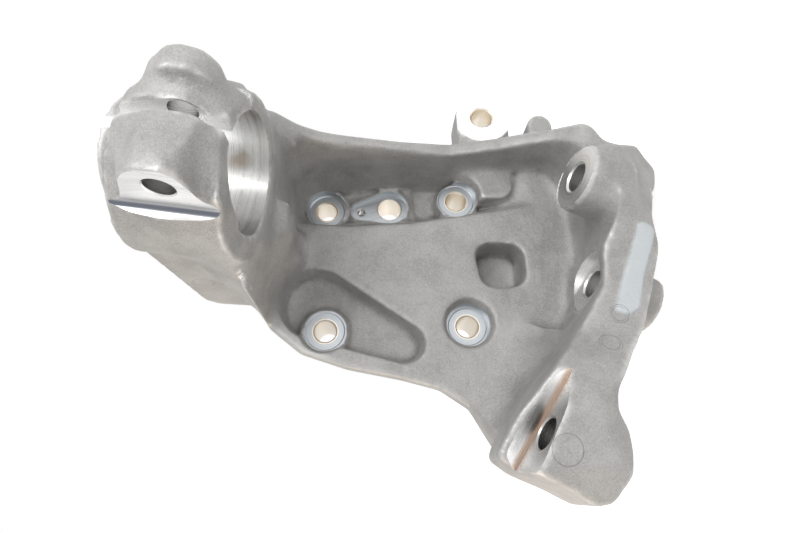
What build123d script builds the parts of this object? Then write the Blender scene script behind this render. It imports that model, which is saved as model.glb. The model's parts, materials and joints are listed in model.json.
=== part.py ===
"""Cast steering knuckle for an undriven front wheel, right-hand side, one solid.

The casting is drawn in its own frame and turned into the vehicle frame at the end:
local x runs down the wheel side, y runs rearward, z runs inboard from the hub face.
Vehicle frame: X forward, Y inboard, Z up, origin at the middle of the hub bolt pattern.
"""

import math
import os

from build123d import *

# ---- overall size: every cast outline below is drawn for these and follows them -----
LENGTH = 275.0
WIDTH = 250.0
DEPTH = 190.0
ALONG = LENGTH / 275.0
ACROSS = WIDTH / 250.0
INBOARD = DEPTH / 190.0

# ---- hub mounting: hardware sizes, which stay when the overall size changes ----------
BOLT_HALF_SPACING = 43.0
HUB_BOLT_D = 13.0
HUB_SEAT_R = 76.0
HUB_SEAT_DEPTH = 16.0
SPIGOT_R = 48.0
SPIGOT_DEPTH = 9.0
CORE_R = 22.0
CORE_DEPTH = 18.0
PAD_R = 13.2
PAD_HEIGHT = 32.0
LOW_PAD_HEIGHT = 21.0
PAD_OPENING = 12.0
PAD_CLEAR = 22.0

# ---- dish floor, trough and pockets ------------------------------------------------
FLOOR = 42.0
TROUGH_FLOOR = 20.0
DROP_FLOOR = 28.0
SQUARE_FLOOR = 20.0
WEB_SKIN = 11.0
WALL_CORNER = 7.0
FLOOR_CORNER = 6.0
NECK_CORNER = 5.0
LIP_LEVEL = 30.0
LIP_STEP = 4.0
SEAT_STEP = 7.0
SENSOR_D = 15.5
SENSOR_XY = (-1.0, 43.0)
SENSOR_SCREW_D = 5.0
SENSOR_SCREW_XY = (-20.0, 41.0)
SENSOR_SCREW_DEPTH = 12.0
SENSOR_BOSS_HEIGHT = 25.0
SENSOR_SEAT_HEIGHT = 23.0

# ---- rear wall ---------------------------------------------------------------------
WALL_OUTER = 70.0
WALL_INNER = 61.0
RIM = ((-118, 126), (-82, 116), (-66, 96), (-48, 79), (-30, 70), (0, 61.5), (38, 60.5),
       (68, 67), (98, 77), (112, 90), (160, 90))

# ---- strut clamp -------------------------------------------------------------------
STRUT_BORE_D = 56.0
CLAMP_WALL = 8.0
CLAMP_BULGE = 1.5
CLAMP_BULGE_FRONT = 3.5
CLAMP_LENGTH = 48.0
CLAMP_MOUTH = (-66.6, 2.2, 138.0)
CLAMP_YAW = 9.0
SLOT_WIDTH = 6.0
PINCH_D = 12.2
PINCH_OFFSET = 38.0
PINCH_ALONG = -21.0
PINCH_FACE = 32.0
EAR_REACH = 24.5
EAR_BLOCK = 12.0
LIP_FRONT = 11.0
LOBE_R = 13.5
LOBE_BACK = 1.5
LOBE_HEIGHT = 38.5
LUMP_R = 6.5
LUMP_BACK = 11.5
LUMP_HEIGHT = 39.5
BORE_RUN_OUT = 14.0
STEP_CUT = 30.0
PINCH_STEP_RISE = 22.0
STEP_CORNER_R = 3.0

# ---- ball joint bar ----------------------------------------------------------------
STUD_D = 16.0
TIE_D = 15.0
STUD_SPOT_D = 36.0
UPPER_STUD = (98.8, 22.0, 97.1)
UPPER_TURN = (16.0, 15.0)
MIDDLE_STUD = (108.0, -31.0, 71.5)
MIDDLE_TURN = (22.0, 10.0)
TIE_STUD = (59.4, -112.9, 108.9)
TIE_TURN = (28.0, 10.0)
TIE_STEP_UP = 20.0
TIE_STEP = (90.0, 60.0)
TIE_STEP_TURN = -24.0
SPOT_RIM = 0.8
SEAT_DEPTH = 26.0
BOSS_DEPTH = 35.0
BAR_CORNER = 4.0
RAMP_CORNER = 3.0
SPOT_CLEAR = 20.0
STUD_RUN_OUT = 70.0

# ---- caliper ears ------------------------------------------------------------------
CALIPER_D = 14.2
CALIPER_FACE = 50.0
CALIPER_THICK = 26.0
CALIPER_HALF = 17.5
CALIPER_END = 12.5
CALIPER_CORNER = 10.0
CALIPER_ROOT = 40.0
SHIELD_ROOT = 60.0 * ACROSS
SHIELD_XY = (98.0 * ALONG, 84.0 * ACROSS)
SHIELD_R = 8.0
SHIELD_LOW = 30.0
SHIELD_TOP = 60.0
CALIPER_A = (62.5 * ALONG, 97.0 * ACROSS)
CALIPER_B = (-78.0 * ALONG, 79.0 * ACROSS)

VEHICLE = Plane(origin=(0, 0, 0), x_dir=(0, 0, -1), z_dir=(0, 1, 0)).location


def grid(points, first, second):
    """Outline points taken from the drawn size to the stated overall size."""
    return [(a * first, b * second) for a, b in points]


def place(point):
    """A drawn point taken to the stated overall size."""
    return (point[0] * ALONG, point[1] * ACROSS, point[2] * INBOARD)


def outline(points, radius):
    """A flat closed outline in local x, y with every corner rounded."""
    face = make_face(Polyline(*grid(points, ALONG, ACROSS), close=True))
    return fillet(face.vertices(), radius)


def prism(plane, points, length):
    """Sharp-edged prism of an outline drawn on the plane."""
    return extrude(plane * make_face(Polyline(*points, close=True)), length)


def facing_side(at):
    """Plane whose outlines are x, height; prisms on it run towards the front."""
    return Plane(origin=(0, at, 0), x_dir=(1, 0, 0), z_dir=(0, -1, 0))


def facing_down(at):
    """Plane whose outlines are y, height; prisms on it run down the part."""
    return Plane(origin=(at, 0, 0), x_dir=(0, 1, 0), z_dir=(1, 0, 0))


def plan(points, radius, low, high):
    """Prism standing on the plan outline, between two heights above the hub face."""
    return extrude(Pos(0, 0, low) * outline(points, radius), high - low)


def side(points, low, high):
    """Prism of an x, height outline running rearward from low to high."""
    plane = facing_side(high * ACROSS)
    return prism(plane, grid(points, ALONG, INBOARD), (high - low) * ACROSS)


def section(points, at):
    """Flat x, height outline standing at one place across the part."""
    outline_2d = Polyline(*grid(points, ALONG, INBOARD), close=True)
    return facing_side(at * ACROSS) * make_face(outline_2d)


def cross(points, low, high):
    """Prism of a y, height outline running down the part from low to high."""
    plane = facing_down(low * ALONG)
    return prism(plane, grid(points, ACROSS, INBOARD), (high - low) * ALONG)


def drum(x, y, radius, low, high, draft=0.0):
    """Round boss or cutter standing on the plan."""
    return extrude(Pos(x, y, low) * Circle(radius), high - low, taper=draft)


def axis_frame(centre, turn):
    """Frame on a spot face: z points out of the face, towards the joint."""
    yaw, tilt = (math.radians(angle) for angle in turn)
    normal = (
        -math.cos(yaw) * math.cos(tilt),
        math.sin(yaw) * math.cos(tilt),
        math.sin(tilt),
    )
    x_dir = (-math.sin(yaw), -math.cos(yaw), 0)
    return Plane(origin=place(centre), x_dir=x_dir, z_dir=normal)


def clamp_frame():
    """Frame at the bore mouth: x along the strut to the mouth, y rearward, z inboard."""
    yaw = math.radians(CLAMP_YAW)
    x_dir = (math.cos(yaw), -math.sin(yaw), 0)
    return Plane(origin=place(CLAMP_MOUTH), x_dir=x_dir, z_dir=(0, 0, 1)).location


def sleeve(radius, low, high):
    """Cylinder along the strut axis in the clamp frame."""
    return extrude(facing_down(low) * Circle(radius), high - low)


def pin_boss(along, height, radius, low, high):
    """Cylinder along the pinch bolt in the clamp frame."""
    plane = Plane(origin=(along, low, height), x_dir=(1, 0, 0), z_dir=(0, 1, 0))
    return extrude(plane * Circle(radius), high - low)


STRUT_R = STRUT_BORE_D / 2
SLEEVE_R = STRUT_R + CLAMP_WALL
FRONT_EAR_SIDE = ((-48, 0), (-48, 30), (-42, 37), (-36, 42), (-31, 48), (-26, 51), (-16, 51.5),
                  (-12, 48), (-9, 40), (-7, 31), (-4, 25), (-3, 0))
FRONT_EAR_END = ((-39, -6), (-39, 22), (-37, 42), (-34, 51), (-28, 52), (-14, 48), (0, 45),
                 (0, 0))
FRONT_EAR_PLAN = ((-48, 0), (-48, -8), (-36.5, -31), (-35, -36), (-28, -37.5), (-18, -37.5),
                  (-7, -35), (0, -33), (0, 0))
LIP_SIDE = ((-48, 25), (-48, 34), (-44, 39), (-38, 43), (-32, 44.5), (-26, 45), (-17, 42),
            (-10, 38.5), (-4, 35.5), (-4, 25))
WEB_SIDE = ((-30, 0), (-30, 44), (-14, 46), (-9, 38), (-5, 30), (-4, 0))
MOUTH_BEVEL = ((3, -60), (0, -10), (-2.5, 24), (-9, 42), (-9, 80), (20, 80), (20, -60))


def clamp():
    """Split clamp round the strut, with both bolt ears, still without its holes."""
    front = prism(facing_side(0), FRONT_EAR_SIDE, STRUT_BORE_D)
    front &= prism(facing_down(-CLAMP_LENGTH), FRONT_EAR_END, CLAMP_LENGTH)
    front &= prism(Plane.XY, FRONT_EAR_PLAN, WIDTH)
    lip = prism(facing_side(EAR_BLOCK), LIP_SIDE, EAR_BLOCK + LIP_FRONT)
    head = pin_boss(PINCH_ALONG - LOBE_BACK, LOBE_HEIGHT, LOBE_R, EAR_BLOCK, EAR_REACH)
    head += pin_boss(PINCH_ALONG - LUMP_BACK, LUMP_HEIGHT, LUMP_R, EAR_BLOCK, EAR_REACH - 2)
    head += prism(facing_side(EAR_REACH - 4), WEB_SIDE, EAR_REACH - 4 - EAR_BLOCK)
    barrel = sleeve(SLEEVE_R, -CLAMP_LENGTH, 2)
    barrel += Pos(0, -CLAMP_BULGE_FRONT, 0) * sleeve(SLEEVE_R + CLAMP_BULGE, -CLAMP_LENGTH, 2)
    shape = barrel + front + lip + head
    return shape - prism(facing_side(LENGTH), MOUTH_BEVEL, 2 * LENGTH)


def clamp_cuts():
    """Strut bore, slot, pinch bolt hole and the milled step under the bolt head."""
    bore = sleeve(STRUT_R, -2 * CLAMP_LENGTH, BORE_RUN_OUT)
    slot = Pos(-CLAMP_LENGTH / 2, 0, CLAMP_LENGTH) * Box(
        1.4 * CLAMP_LENGTH, SLOT_WIDTH, 2 * CLAMP_LENGTH)
    pinch = pin_boss(PINCH_ALONG, PINCH_OFFSET, PINCH_D / 2, -STRUT_BORE_D, STRUT_BORE_D)
    corner = (-PINCH_FACE - STEP_CUT / 2, PINCH_STEP_RISE + STEP_CUT / 2)
    window = Pos(*corner) * RectangleRounded(STEP_CUT, STEP_CUT, STEP_CORNER_R)
    step = extrude(facing_down(-1.1 * CLAMP_LENGTH) * window, 1.2 * CLAMP_LENGTH)
    return bore + slot + pinch + step


BODY = ((-77, -40), (-57, -57), (-30, -67), (0, -74), (23, -81), (41, -94), (56, -122),
        (78, -110), (100, -92), (128, -40), (134, 30), (118, 62), (98, 69),
        (75, WALL_OUTER), (-30, WALL_OUTER), (-54, 65), (-72, 54), (-80, 30))
DISH = ((-76, -120), (-74, -38), (-66, -16), (-58, 0), (-58, 46), (-44, 58),
        (-26, WALL_INNER), (78, WALL_INNER), (98, 60), (110, 50), (114, 34), (114, -6),
        (106, -20), (104, -40), (90, -64), (72, -92), (54, -118), (40, -140))
NECK_SIDE = ((-46, 40), (-52, 43), (-58, 50), (-63, 66), (-66, 88), (-67, 112), (-72, 172),
             (-112, 150),
             (-104, 134), (-96, 110), (-86, 80), (-77, 50), (-72, 30))
NECK_PLAN = ((-77, -38), (-64, -14), (-48, 4), (-44, 52), (-66, 58), (-80, 48),
             (-100, 44), (-118, 38), (-118, -20), (-100, -30))
NECK_CROSS = ((-60, 0), (-60, 112), (-40, 130), (-33, 150), (-29, 175), (25, 175), (42, 152), (48, 132), (56, 112), (60, 90),
              (60, 0))
GUSSET_SIDE = ((-70, 14), (-70, 120), (-112, 150), (-124, 120), (-115, 36), (-109, 28),
               (-90, 22), (-82, 14))
GUSSET = (-23.0, 30.0)
MOUTH_SIDE = ((-61, FLOOR), (-63, 70), (-67, 108), (-70, 150), (-30, 150), (-30, FLOOR))
MOUTH_SPAN = (15, WALL_INNER)


NECK_CORE = ((-135, 30), (-135, 92), (-108, 92), (-92, 60), (-86, 30))
NECK_CORE_SPAN = (-13.0, 32.0)
BACK_CORE = ((84, -36), (100, -34), (104, 26), (84, 32))


def set_back(step, low):
    """Lower layer of the blank, its front edge set back behind the lip."""
    layer = plan(BODY, WALL_CORNER, low, LIP_LEVEL)
    return layer & Pos(0, step, 0) * layer


def body():
    """Dish blank with its rear wall, the neck up to the clamp and the neck gusset."""
    rim = [(-LENGTH, HUB_SEAT_DEPTH)] + list(RIM) + [(LENGTH, HUB_SEAT_DEPTH)]
    blank = plan(BODY, WALL_CORNER, LIP_LEVEL, DEPTH) + set_back(LIP_STEP, HUB_SEAT_DEPTH)
    blank &= side(rim, -WIDTH, WIDTH)
    floor = plan(DISH, FLOOR_CORNER, FLOOR, DEPTH)
    neck = side(NECK_SIDE, -WALL_OUTER, WALL_OUTER) & plan(NECK_PLAN, NECK_CORNER, 0, DEPTH)
    neck &= cross(NECK_CROSS, -LENGTH, 0)
    gusset = side(GUSSET_SIDE, *GUSSET)
    return blank - floor + neck - side(MOUTH_SIDE, *MOUTH_SPAN) + gusset


RAMP = ((0, 30), (0, 88), (-8, 85), (-16, 66), (-27, 50), (-42, FLOOR - 1), (-42, 30))
RAMP_START = (60, -134, 0)
RAMP_TURN = -34.0
RAMP_LENGTH = 84.0
BAR_RAMP = ((23, -80), (41, -93), (58, -122), (104, -80), (114, -40), (60, -40))
BAR_PLAN = ((108, 64), (118, 62), (134, 48), (152, 33), (149, 23), (138, -2), (138, -18),
            (129, -44), (119, -65), (106, -80), (94, -96), (92, -105), (96, -113),
            (96, -123), (93, -134), (87, -143), (79, -144), (65, -136), (50, -129),
            (40, -121), (50, -104), (68, -84),
            (88, -62), (104, -40), (106, -20), (114, -6), (114, 34), (108, 48))
BAR_FALL = ((20, 0), (20, 124), (95, 119), (112, 113), (124, 106), (135, 98), (145, 90),
            (156, 84), (156, 0))
TIE_FALL = ((20, 0), (20, 124), (68, 124), (84, 119), (96, 112), (104, 101), (116, 96), (116, 0))
FALL_SPAN = (-98.0, -52.0)
BAR_SIDE = ((72, 40), (70, 77), (58, 82), (49, 88), (44, 94), (38, 104), (30, 113), (10, 115),
            (-8, 101), (-40, 96), (-66, 99), (-86, 112), (-104, 121), (-128, 117), (-146, 101),
            (-146, 70), (-110, 62), (-84, 46), (-50, 34), (-10, 32), (40, 34))


def bar():
    """Beam that joins the three ball joint seats along the lower end."""
    beam = plan(BAR_PLAN, BAR_CORNER, 0, DEPTH) & cross(BAR_SIDE, 0, LENGTH)
    low, high = FALL_SPAN
    turn = loft([section(TIE_FALL, low), section(BAR_FALL, high)], ruled=True)
    beam &= turn + side(BAR_FALL, high, WIDTH) + side(TIE_FALL, -WIDTH, low)
    seat = axis_frame(UPPER_STUD, UPPER_TURN) * Circle(STUD_SPOT_D / 2 + SPOT_RIM)
    boss = axis_frame(MIDDLE_STUD, MIDDLE_TURN) * Circle(STUD_D)
    ramp = Pos(*place(RAMP_START)) * (Rot(0, 0, RAMP_TURN) * side(RAMP, 0, RAMP_LENGTH))
    ramp &= plan(BAR_RAMP, RAMP_CORNER, 0, DEPTH)
    return beam + extrude(seat, -SEAT_DEPTH) + extrude(boss, -BOSS_DEPTH) + ramp


def stud(centre, turn):
    """Stud hole with the clear space in front of its spot face."""
    frame = axis_frame(centre, turn)
    hole = extrude(frame * Circle(STUD_D / 2), -STUD_RUN_OUT)
    spot = extrude(frame * Circle(STUD_SPOT_D / 2), SPOT_CLEAR)
    return hole + spot


def bar_cuts():
    """Spot faces and stud holes of the control arm, tension strut and tie rod."""
    tie = extrude(axis_frame(TIE_STUD, TIE_TURN) * Circle(TIE_D / 2), -STUD_RUN_OUT)
    return stud(UPPER_STUD, UPPER_TURN) + stud(MIDDLE_STUD, MIDDLE_TURN) + tie


def tie_step():
    """Milled face of the tie rod seat with the floor of the cut beside it."""
    frame = axis_frame(TIE_STUD, TIE_TURN)
    window = Pos(0, TIE_STEP_UP) * RectangleRounded(*TIE_STEP, STEP_CORNER_R)
    return extrude(frame * (Rot(0, 0, TIE_STEP_TURN) * window), STEP_CUT)


def pads():
    """Raised spot faces round the hub bolts."""
    half = BOLT_HALF_SPACING
    out = drum(-half, -half, PAD_R, HUB_SEAT_DEPTH, PAD_HEIGHT)
    out += drum(half, half, PAD_R, HUB_SEAT_DEPTH, PAD_HEIGHT)
    out += drum(-half, half, PAD_R, HUB_SEAT_DEPTH, LOW_PAD_HEIGHT)
    return out


def pad_cuts():
    """Clear space above every hub bolt pad, opening out away from the pad."""
    half = BOLT_HALF_SPACING
    out = None
    for x, y, level in ((-half, -half, PAD_HEIGHT), (half, -half, PAD_HEIGHT),
                        (half, half, PAD_HEIGHT), (-half, half, LOW_PAD_HEIGHT)):
        cone = drum(x, y, PAD_R, level, level + PAD_CLEAR, draft=-PAD_OPENING)
        out = cone if out is None else out + cone
    return out


def bolt_holes():
    """The four hub bolt holes."""
    half = BOLT_HALF_SPACING
    out = None
    for x in (-half, half):
        for y in (-half, half):
            hole = drum(x, y, HUB_BOLT_D / 2, -1, 2 * FLOOR)
            out = hole if out is None else out + hole
    return out


TROUGH_TOP = ((-62, 25), (-30, 22), (10, 23), (40, 27), (92, 34), (88, WALL_INNER),
              (-30, WALL_INNER), (-61, 50))
TROUGH_LOW = ((-57, 36), (-30, 33), (10, 33), (36, 36), (46, 40), (44, 57), (-30, 57),
              (-56, 49))
TROUGH_CORNER = 4.0
DROP_WIDE = (-48 * ALONG, -28 * ACROSS)
DROP_WIDE_R = 20.0
DROP_END = (4 * ALONG, -54 * ACROSS)
DROP_END_R = 10.0
DROP_DRAFT = 8.0
SQUARE_PLAN = ((50, 9), (81, 7), (81, -21), (53, -21))
SQUARE_CORNER = 9.0


def pockets():
    """Trough behind the ridge, the drop-shaped pocket and the square pocket."""
    top = Pos(0, 0, FLOOR + 0.2) * outline(TROUGH_TOP, TROUGH_CORNER)
    low = Pos(0, 0, TROUGH_FLOOR) * outline(TROUGH_LOW, TROUGH_CORNER)
    ends = (Pos(*DROP_WIDE) * Circle(DROP_WIDE_R)).edges()
    ends += (Pos(*DROP_END) * Circle(DROP_END_R)).edges()
    drop = Pos(0, 0, DROP_FLOOR) * make_hull(ends)
    out = loft([top, low], ruled=True) + extrude(drop, FLOOR, taper=-DROP_DRAFT)
    return out + plan(SQUARE_PLAN, SQUARE_CORNER, SQUARE_FLOOR, 2 * FLOOR)


def sensor_boss():
    """Drop-shaped boss of the wheel speed sensor on the trough floor."""
    ring = make_hull((Pos(*SENSOR_XY) * Circle(13.5)).edges()
                     + (Pos(*SENSOR_SCREW_XY) * Circle(8)).edges())
    return extrude(Pos(0, 0, HUB_SEAT_DEPTH) * ring, SENSOR_BOSS_HEIGHT - HUB_SEAT_DEPTH)


def sensor_cuts():
    """Sensor seat, through hole and the blind hole of its screw."""
    seat = make_hull((Pos(*SENSOR_XY) * Circle(11.5)).edges()
                     + (Pos(*SENSOR_SCREW_XY) * Circle(6)).edges())
    out = extrude(Pos(0, 0, SENSOR_SEAT_HEIGHT) * seat, 10)
    out += drum(*SENSOR_XY, SENSOR_D / 2, -1, 2 * FLOOR)
    bottom = SENSOR_SEAT_HEIGHT - SENSOR_SCREW_DEPTH
    out += drum(*SENSOR_SCREW_XY, SENSOR_SCREW_D / 2, bottom, 2 * FLOOR)
    return out


def back_cuts():
    """Cores of the outboard side: the neck channel and the space behind the floor."""
    neck = side(NECK_CORE, *NECK_CORE_SPAN)
    return neck + plan(BACK_CORE, 6, 0, FLOOR - WEB_SKIN)


def caliper_ear(x, y):
    """One caliper ear standing off the rear wall, without its hole."""
    low = CALIPER_FACE - CALIPER_THICK
    height = y + CALIPER_END - CALIPER_ROOT
    shape = RectangleRounded(2 * CALIPER_HALF, height, CALIPER_CORNER)
    return extrude(Pos(x, CALIPER_ROOT + height / 2, low) * shape, CALIPER_THICK)


def shield_boss():
    """Small boss of the brake dust shield beside the lower caliper ear."""
    x, y = SHIELD_XY
    root = Pos(x, (SHIELD_ROOT + y) / 2, SHIELD_LOW) * Rectangle(2 * SHIELD_R, y - SHIELD_ROOT)
    boss = extrude(root, SHIELD_TOP - SHIELD_LOW)
    return boss + drum(x, y, SHIELD_R, SHIELD_LOW, SHIELD_TOP)


def hub_cuts():
    """Bearing spigot recess and the core behind the dish floor."""
    return drum(0, 0, SPIGOT_R, -1, SPIGOT_DEPTH) + drum(4, -2, CORE_R, 0, CORE_DEPTH)


def knuckle():
    """The whole casting in its own frame."""
    seat = drum(0, 0, HUB_SEAT_R, 0, HUB_SEAT_DEPTH + 1)
    shape = body() + bar() + (seat & set_back(SEAT_STEP, 0))
    shape += clamp_frame() * clamp()
    shape -= pockets()
    shape += pads() + sensor_boss()
    ears = caliper_ear(*CALIPER_A) + caliper_ear(*CALIPER_B)
    shape += ears - plan(DISH, FLOOR_CORNER, FLOOR, DEPTH)
    shape += shield_boss()
    shape -= clamp_frame() * clamp_cuts()
    shape -= pad_cuts()
    shape -= sensor_cuts()
    shape -= bar_cuts()
    shape -= tie_step()
    shape -= hub_cuts() + back_cuts()
    shape -= bolt_holes()
    shape -= drum(*CALIPER_A, CALIPER_D / 2, 0, 2 * FLOOR)
    shape -= drum(*CALIPER_B, CALIPER_D / 2, 0, 2 * FLOOR)
    return shape


os.makedirs("parts", exist_ok=True)
export_step(VEHICLE * knuckle(), "parts/knuckle_casting.step")
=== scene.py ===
"""Looks of the cast steering knuckle: a soft sand-cast skin with machined seats cut into it.

The piece is made the way the real one is. The raw casting comes first, as a rounded
skin without any machined hole and with a little extra metal on every face that is
machined later. Then every bore, spot face and milled step is cut out of it with a sharp
cutter at the size that the construction model has.

Positions are written in casting millimetres (down, rear, inboard), measured from the
middle of the hub bolt pattern, and turned into the metres of the vehicle frame.
"""

from __future__ import annotations

import json
import logging
import math
from dataclasses import dataclass, field
from enum import Enum

import bmesh
import bpy
import numpy as np
from mathutils import Matrix, Vector

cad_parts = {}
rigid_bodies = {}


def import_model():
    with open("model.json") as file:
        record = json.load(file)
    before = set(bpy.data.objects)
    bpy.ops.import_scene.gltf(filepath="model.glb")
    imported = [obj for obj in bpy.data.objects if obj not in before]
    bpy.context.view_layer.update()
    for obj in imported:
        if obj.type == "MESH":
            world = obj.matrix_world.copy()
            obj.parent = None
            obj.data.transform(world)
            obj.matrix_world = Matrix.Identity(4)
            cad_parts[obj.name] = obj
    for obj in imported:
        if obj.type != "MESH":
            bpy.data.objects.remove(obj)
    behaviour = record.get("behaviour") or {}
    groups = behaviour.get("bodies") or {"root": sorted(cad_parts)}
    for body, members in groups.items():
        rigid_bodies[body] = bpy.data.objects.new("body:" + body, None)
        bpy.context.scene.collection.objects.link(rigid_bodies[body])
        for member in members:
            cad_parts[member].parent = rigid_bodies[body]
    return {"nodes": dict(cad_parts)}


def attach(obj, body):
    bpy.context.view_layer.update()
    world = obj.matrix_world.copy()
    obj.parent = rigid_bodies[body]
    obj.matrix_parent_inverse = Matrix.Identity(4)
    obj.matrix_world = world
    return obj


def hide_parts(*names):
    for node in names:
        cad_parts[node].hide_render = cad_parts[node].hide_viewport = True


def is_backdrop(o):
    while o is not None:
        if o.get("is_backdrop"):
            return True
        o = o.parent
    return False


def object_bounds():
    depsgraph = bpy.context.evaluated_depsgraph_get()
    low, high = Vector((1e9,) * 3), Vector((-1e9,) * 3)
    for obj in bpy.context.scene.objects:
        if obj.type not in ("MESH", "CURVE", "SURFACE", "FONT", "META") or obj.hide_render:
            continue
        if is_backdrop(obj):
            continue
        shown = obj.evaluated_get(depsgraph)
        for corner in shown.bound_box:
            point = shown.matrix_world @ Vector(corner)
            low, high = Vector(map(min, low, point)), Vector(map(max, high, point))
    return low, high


LOG = logging.getLogger("knuckle")
MM = 0.001
FLOOR_GAP = 0.0004
Point = tuple[float, float, float]
Flat = tuple[float, float]


def row(point: Point) -> Vector:
    """Casting millimetres turned into a vehicle-frame point.

    Args:
        point: (down, rear, inboard) in millimetres.

    Returns:
        The same point in metres, X forward, Y inboard, Z up.
    """
    return Vector((-point[1], point[2], -point[0])) * MM


def heading(direction: Point) -> Vector:
    """Casting direction turned into a unit vector of the vehicle frame.

    Args:
        direction: (down, rear, inboard) components.

    Returns:
        The unit vector in the vehicle frame.
    """
    return Vector((-direction[1], direction[2], -direction[0])).normalized()


def rows(points: np.ndarray) -> np.ndarray:
    """Casting millimetres turned into vehicle-frame points, as one array.

    Args:
        points: (n, 3) rows of (down, rear, inboard).

    Returns:
        (n, 3) single-precision rows in metres.
    """
    turned = np.stack([-points[:, 1], points[:, 2], -points[:, 0]], 1)
    return turned.astype(np.float32) * np.float32(MM)


@dataclass(frozen=True)
class Datum:
    """A machining datum: its origin and its two leading axes, in casting terms."""

    origin: Point
    normal: Point
    across: Point = (1.0, 0.0, 0.0)

    def matrix(self) -> Matrix:
        """Transform from the datum's own millimetres to the vehicle frame in metres.

        Returns:
            A 4 by 4 matrix with the scale of millimetres in it.
        """
        z = heading(self.normal)
        x = heading(self.across)
        x = (x - z * x.dot(z)).normalized()
        y = z.cross(x)
        turn = Matrix((x, y, z)).transposed().to_4x4()
        return Matrix.Translation(row(self.origin)) @ turn @ Matrix.Scale(MM, 4)

    def local(self, co: np.ndarray) -> np.ndarray:
        """Vehicle-frame metres turned into the datum's own millimetres.

        Args:
            co: (n, 3) positions.

        Returns:
            The same positions in the datum's frame.
        """
        back = np.array(self.matrix().inverted())
        return co @ back[:3, :3].T + back[:3, 3]

    def sense(self, point: Point) -> float:
        """Sign of a casting point's second coordinate in the datum's plane."""
        return math.copysign(1.0, self.local(np.array([row(point)]))[0, 1])

    @staticmethod
    def turned(origin: Point, yaw: float, tilt: float) -> Datum:
        """Datum of a ball joint seat, from the yaw and tilt of its stud.

        Args:
            origin: middle of the seat face.
            yaw: turn of the stud about the inboard axis, in degrees.
            tilt: rise of the stud towards inboard, in degrees.

        Returns:
            The datum, its normal along the stud.
        """
        b, e = math.radians(yaw), math.radians(tilt)
        normal = (-math.cos(b) * math.cos(e), math.sin(b) * math.cos(e), math.sin(e))
        return Datum(origin, normal, (-math.sin(b), -math.cos(b), 0.0))


HUB = Datum((0.0, 0.0, 0.0), (0.0, 0.0, 1.0))
UPPER = Datum.turned((98.8, 22.0, 97.1), 16.0, 15.0)
MIDDLE = Datum.turned((108.0, -31.0, 71.5), 22.0, 10.0)
TIE = Datum.turned((59.4, -112.9, 108.9), 28.0, 10.0)


@dataclass(frozen=True)
class ClampFrame:
    """Frame of the strut clamp: along the strut, to the rear and inboard."""

    yaw: float = math.radians(9.0)
    mouth: Point = (-66.6, 2.2, 138.0)

    def strut_axis(self) -> Point:
        """Direction of the strut, out of the clamp's mouth."""
        return (math.cos(self.yaw), -math.sin(self.yaw), 0.0)

    def pinch_axis(self) -> Point:
        """Direction of the pinch bolt, to the rear."""
        return (math.sin(self.yaw), math.cos(self.yaw), 0.0)

    def point(self, along: float, rear: float, inboard: float) -> Point:
        """Point of the clamp turned into casting millimetres.

        Args:
            along: distance along the strut from the mouth.
            rear: distance along the pinch bolt.
            inboard: distance from the strut's middle line.

        Returns:
            (down, rear, inboard) of the point.
        """
        a, b = self.strut_axis(), self.pinch_axis()
        x, y, z = (m + along * i + rear * j for m, i, j in zip(self.mouth, a, b))
        return (x, y, z + inboard)

    def along_strut(self, *place: float) -> Datum:
        """Datum at a point of the clamp, its normal along the strut."""
        return Datum(self.point(*place), self.strut_axis(), self.pinch_axis())

    def along_pinch(self, *place: float) -> Datum:
        """Datum at a point of the clamp, its normal along the pinch bolt."""
        return Datum(self.point(*place), self.pinch_axis(), self.strut_axis())

    def facing_in(self, *place: float) -> Datum:
        """Datum at a point of the clamp, its normal inboard."""
        return Datum(self.point(*place), (0, 0, 1), self.strut_axis())


CLAMP = ClampFrame()


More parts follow.
